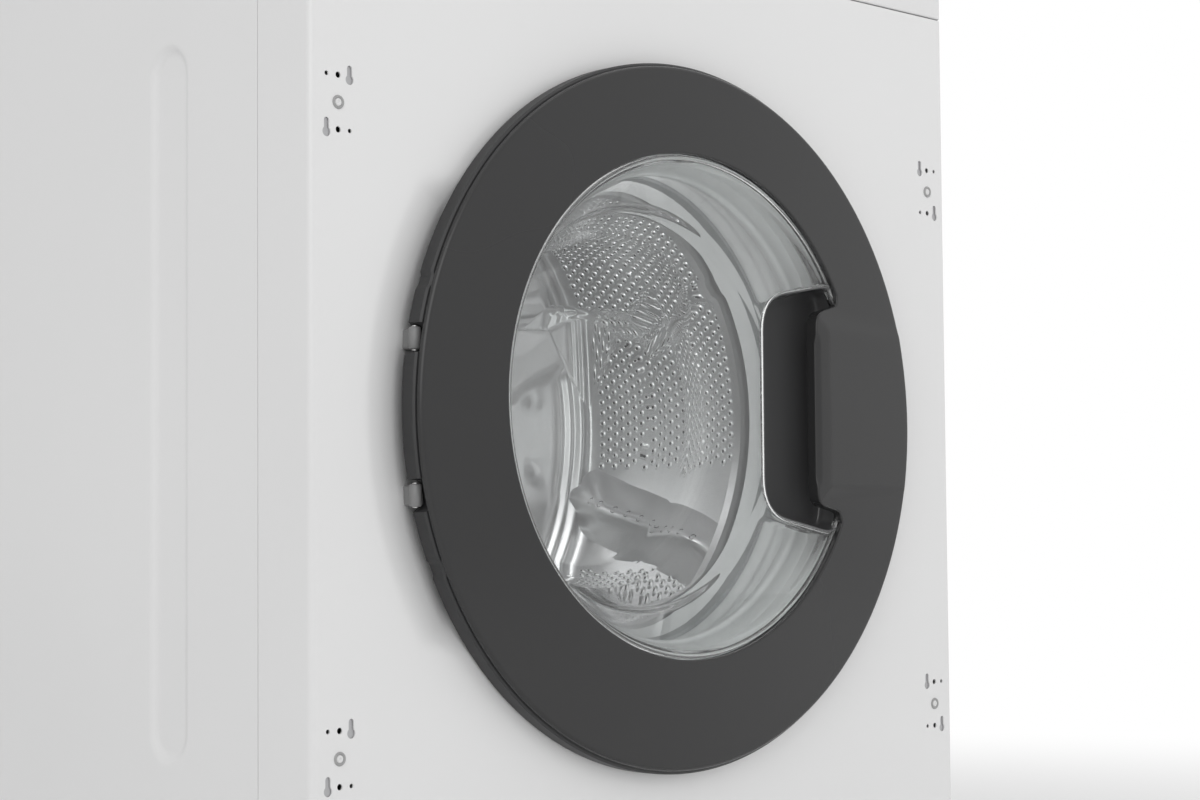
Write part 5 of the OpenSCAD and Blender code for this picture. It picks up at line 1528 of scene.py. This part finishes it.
@dataclass
class Casing(Part):
    """The outer sheets, the screws that show, and the feet."""

    half: float = 297.5
    deep: float = 515.0
    low: float = 18.0
    high: float = 814.0
    top: float = 818.0
    sheet: float = 1.0
    fold: float = 15.0
    lid_from: float = 8.0
    start: float = 50.0
    screw_in: float = 9.0
    bead_y: tuple[float, float] = (140.0, 380.0)
    bead_z: tuple[float, float] = (180.0, 620.0)
    bead_half: float = 20.0
    bead_run: float = 6.0
    bead_deep: float = 3.0
    thread: tuple[float, float, float, int] = (5.0, 0.35, 1.4, 28)
    feet: tuple[tuple[str, str, float, float], ...] = (
        ("foot_front_left", "front_left_foot", -255.0, 95.0),
        ("foot_front_right", "front_right_foot", 255.0, 95.0),
        ("foot_rear_left", "rear_left_foot", -255.0, 470.0),
        ("foot_rear_right", "rear_right_foot", 255.0, 470.0))

    def bead(self, y: float, z: float) -> float:
        """Depth of the stiffening beads pressed into a side at y and height z."""
        deep = 0.0
        for middle in self.bead_y:
            up = max(self.bead_z[0] + self.bead_half - z, z - self.bead_z[1] + self.bead_half, 0.0)
            away = math.hypot(y - middle, up)
            flat = self.bead_half - self.bead_run
            deep = max(deep, self.bead_deep * (1 - ease(away, flat, self.bead_half)))
        return deep

    def side(self, s: int, name: str) -> None:
        """Builds one side with its beads and folded edges."""
        across = [self.start]
        for middle in self.bead_y:
            across += [middle - 26] + [middle + k for k in range(-21, 22, 2)] + [middle + 26]
        across += [self.deep]
        ends = [z + k * 2.0 for z, first, last in ((self.bead_z[0], -1, 12), (self.bead_z[1], -12, 1))
                for k in range(first, last + 1)]
        levels = [self.low, *ends[:14], 300, 400, 500, *ends[14:], self.high]
        inner = s * (self.half - self.fold)
        form = Form(name + "_sheet")
        form.grid([[(s * (self.half - self.bead(y, z)), y, z) for y in across] + [(inner, self.deep, z)]
                   for z in levels])
        for z in (self.low, self.high):
            form.grid([[(x, y, z) for y in across] for x in (s * self.half, inner)])
        sheet = form.folded(self.looks["cabinet_white"], self.sheet, (s, 0, 0))
        settle(sheet, "cabinet", "cabinet_white", name)

    def lid(self) -> None:
        """Builds the worktop with soft edges."""
        rear = self.deep + self.sheet
        middle, half = (self.lid_from + rear) / 2, (rear - self.lid_from) / 2
        loops = []
        for inset, z in ((1.6, self.high), (0.4, self.high), (0.0, self.high + 0.5), (0.0, self.top - 2.2),
                         (0.25, self.top - 1.2), (0.9, self.top - 0.4), (2.0, self.top)):
            edge = pill(2 * (self.half - inset), 2 * (half - inset), 5.0, 6)
            loops.append([(x, middle + y, z) for x, y in edge])
        self.put(Form("worktop_slab").loft(loops), "cabinet_white", "cabinet", "top_cover", sharp=50)

    def screws(self) -> None:
        """Sets the plugs at the furniture hinge holes and the screws at the rear."""
        low, high = HINGE_LEVELS
        spots = ((-HINGE_X, 0.0, low), (2 * HINGE_X, 0, 0), 2, (0, 0, high - low), 2)
        grey = Finish("plug_grey", (0.36, 0.36, 0.36), 0.4, Pattern.MOULDED,
                      vary=0.03, grain=2200, relief=0.006).make()
        ring = small([(0, 0.15), (2.5, 0.15), (2.75, 0.75), (3.3, 0.95), (3.9, 0.7), (4.2, 0.0)], 20)
        settle(Block(*spots).make("hinge_plug_rings", ring, grey), "cabinet", "spring_steel", "panel_screws")
        cap = small([(0, 0.45), (0.75, 0.45), (0.9, 0.85), (1.8, 0.8), (2.4, 0.2)], 16)
        white = self.looks["white_plastic"]
        settle(Block(*spots).make("hinge_plug_caps", cap, white), "cabinet", "spring_steel")
        for low, step in ((120.0, 280.0), (690.0, 90.0)):
            head = small([(0, 0.8), (1.0, 0.9), (1.3, 2.0), (2.6, 1.75), (3.6, 1.1), (4.0, 0.0)], 12,
                         (0, 1, 0))
            x = self.half - self.screw_in
            tree = Block((-x, self.deep + self.sheet, low), (2 * x, 0, 0), 2, (0, 0, step), 2)
            settle(tree.make(f"rear_screws_{int(low)}", head, self.looks["spring_steel"]), "cabinet",
                   "spring_steel")

    def stands(self) -> None:
        """Builds the four screw feet with their lock nuts and threads."""
        r, depth, pitch, turns = self.thread
        thread = [(r - depth * (k % 2), 17.5 + pitch / 2 * k) for k in range(2 * turns + 1)]
        profile = [(0, 0), (18.6, 0), (19.6, 0.6), (20, 1.6), (20, 7.2), (19.4, 8.2), (18.2, 8.8),
                   (10.6, 12.0), (r, 12.2), (r, 16.6), *thread, (4.2, 58.0), (0, 58.0)]
        for body, node, x, y in self.feet:
            form = Form(body + "_stand").upright(profile, x, y)
            form.loft([[(x + r * math.cos(a), y + r * math.sin(a), z) for a in circle(6)]
                       for r, z in ((8.3, 12.0), (9.0, 12.5), (9.0, 15.4), (8.3, 15.9))])
            self.put(form, "dark_plastic", body, node, sharp=30)

    def build(self) -> None:
        """Builds the casing in order."""
        self.side(-1, "left_side_panel")
        self.side(1, "right_side_panel")
        self.lid()
        self.screws()
        self.stands()


@dataclass
class Studio:
    """Camera, lamps, floor and background."""

    lens: float = 72.85
    spot: Point = (-1.15315, -1.35915, 0.31828)
    azimuth: float = 0.8062
    elevation: float = 0.0511
    roll: float = -0.0094
    shift: Flat = (-0.0596, 0.0061)
    mirrored: float = 0.8
    ambient: float = 0.57
    floor_half: float = 8000.0

    def camera(self) -> None:
        """Sets the camera to the photograph's view."""
        lens = bpy.data.cameras.new("camera")
        lens.lens, lens.sensor_width = self.lens, 36.0
        lens.shift_x, lens.shift_y = self.shift
        made = added("camera", lens)
        (sa, ca), (se, ce), (sr, cr) = ((math.sin(a), math.cos(a))
                                        for a in (self.azimuth, self.elevation, self.roll))
        ahead = Vector((sa * ce, ca * ce, se))
        right = Vector((ca, -sa, 0.0))
        up = right.cross(ahead)
        right, up = right * cr + up * sr, up * cr - right * sr
        turn = Matrix((right, up, -ahead)).transposed().to_4x4()
        made.matrix_world = Matrix.Translation(self.spot) @ turn
        bpy.context.scene.camera = made

    def lamp(self, name: str, spot: Point, aim: Point, size: Flat, watts: float, mirrored: bool = True,
             only: Sequence[bpy.types.Object] = ()) -> None:
        """Adds a soft rectangular lamp.

        Args:
            name: Its name.
            spot: Place in metres.
            aim: Point it looks at.
            size: Width and height in metres.
            watts: Power.
            mirrored: Whether shiny pieces show it.
            only: Pieces that it lights, or none for all.
        """
        light = bpy.data.lights.new(name, "AREA")
        light.shape, light.size, light.size_y, light.energy = "RECTANGLE", size[0], size[1], watts
        made = added(name, light)
        made.location = spot
        made.rotation_euler = (Vector(aim) - Vector(spot)).to_track_quat("-Z", "Y").to_euler()
        made.visible_glossy, made.visible_transmission = mirrored, False
        if only:
            made.light_linking.receiver_collection = bpy.data.collections.new(name + "_lit")
            for item in only:
                made.light_linking.receiver_collection.objects.link(item)

    def surround(self) -> None:
        """Makes the world, white to the camera and to mirrors, softer as light."""
        world = bpy.data.worlds.new("studio")
        bpy.context.scene.world = world
        world.use_nodes = True
        graph = Graph(world.node_tree)
        graph.tree.nodes.clear()
        path = graph.node("ShaderNodeLightPath", output="Is Camera Ray")
        seen = graph.maths("MAXIMUM", path, path.out("Is Transmission Ray"))
        strength = graph.maths("MAXIMUM", seen, path.out("Is Glossy Ray") * self.mirrored)
        power = graph.maths("MAXIMUM", strength, self.ambient)
        sky = graph.node("ShaderNodeBackground", None, {"Color": WHITE, "Strength": power})
        graph.node("ShaderNodeOutputWorld", None, {"Surface": sky})

    def floor(self) -> None:
        """Lays the pale floor, which takes the shadow and is white to the camera."""
        far = self.floor_half
        form = Form("floor").grid([[(x, y, 0) for x in (-far, far)] for y in (-far, far)])
        p = Paint("floor")
        path = p.node("ShaderNodeLightPath", output="Is Camera Ray")
        away = p.node("ShaderNodeVectorMath", {"operation": "LENGTH"}, {0: p.where}, "Value")
        white = p.node("ShaderNodeEmission", None, {"Color": WHITE, "Strength": 1.0})
        base = p.node("ShaderNodeBsdfPrincipled", None,
                      {"Base Color": (0.93, 0.93, 0.93, 1), "Roughness": 0.7})
        seen = path * away.span(0.9, 2.2)
        look = p.finish(p.node("ShaderNodeMixShader", None, {0: seen, 1: base, 2: white}))
        floor = form.item(look, 35)
        if floor.data.polygons[0].normal.z < 0:
            floor.data.flip_normals()

    def build(self) -> None:
        """Sets the whole studio."""
        bpy.context.scene.view_settings.view_transform = "Standard"
        self.camera()
        self.surround()
        self.floor()
        self.lamp("key", (-2.1, -1.9, 1.7), (0, -0.2, 0.4), (2.2, 2.2), 22)
        self.lamp("fill", (1.9, -2.0, 1.2), (0, -0.2, 0.4), (2.0, 2.0), 14, mirrored=False)
        self.lamp("top", (0.0, 0.4, 2.6), (0, 0, 0.4), (2.4, 2.4), 10)

    def drum_light(self) -> None:
        """Adds two soft lamps that light the drum and the seal and nothing in front of them."""
        drum = [o for o in bpy.context.scene.objects if o.name.startswith(("drum_", "door_seal_"))]
        self.lamp("drum_light", (-0.04, -0.10, 0.585), (0.14, 0.05, 0.39), (0.28, 0.16), 0.38, only=drum)
        self.lamp("mouth_light", (-1.2, -1.5, 0.36), (0.1, -0.2, 0.42), (0.6, 0.6), 6.5, only=drum)


def main() -> None:
    """Dresses the frame and builds each sub-assembly in order."""
    logging.basicConfig(level=logging.INFO, format="%(message)s")
    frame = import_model()
    studio = Studio()
    studio.build()
    wardrobe = Wardrobe(frame["record"])
    wardrobe.dress(frame["nodes"])
    for part in (Door, Drum, Front, Controls, Casing):
        LOG.info("building %s", part.__name__)
        part(wardrobe.made).build()
    studio.drum_light()


if __name__ == "__main__":
    main()
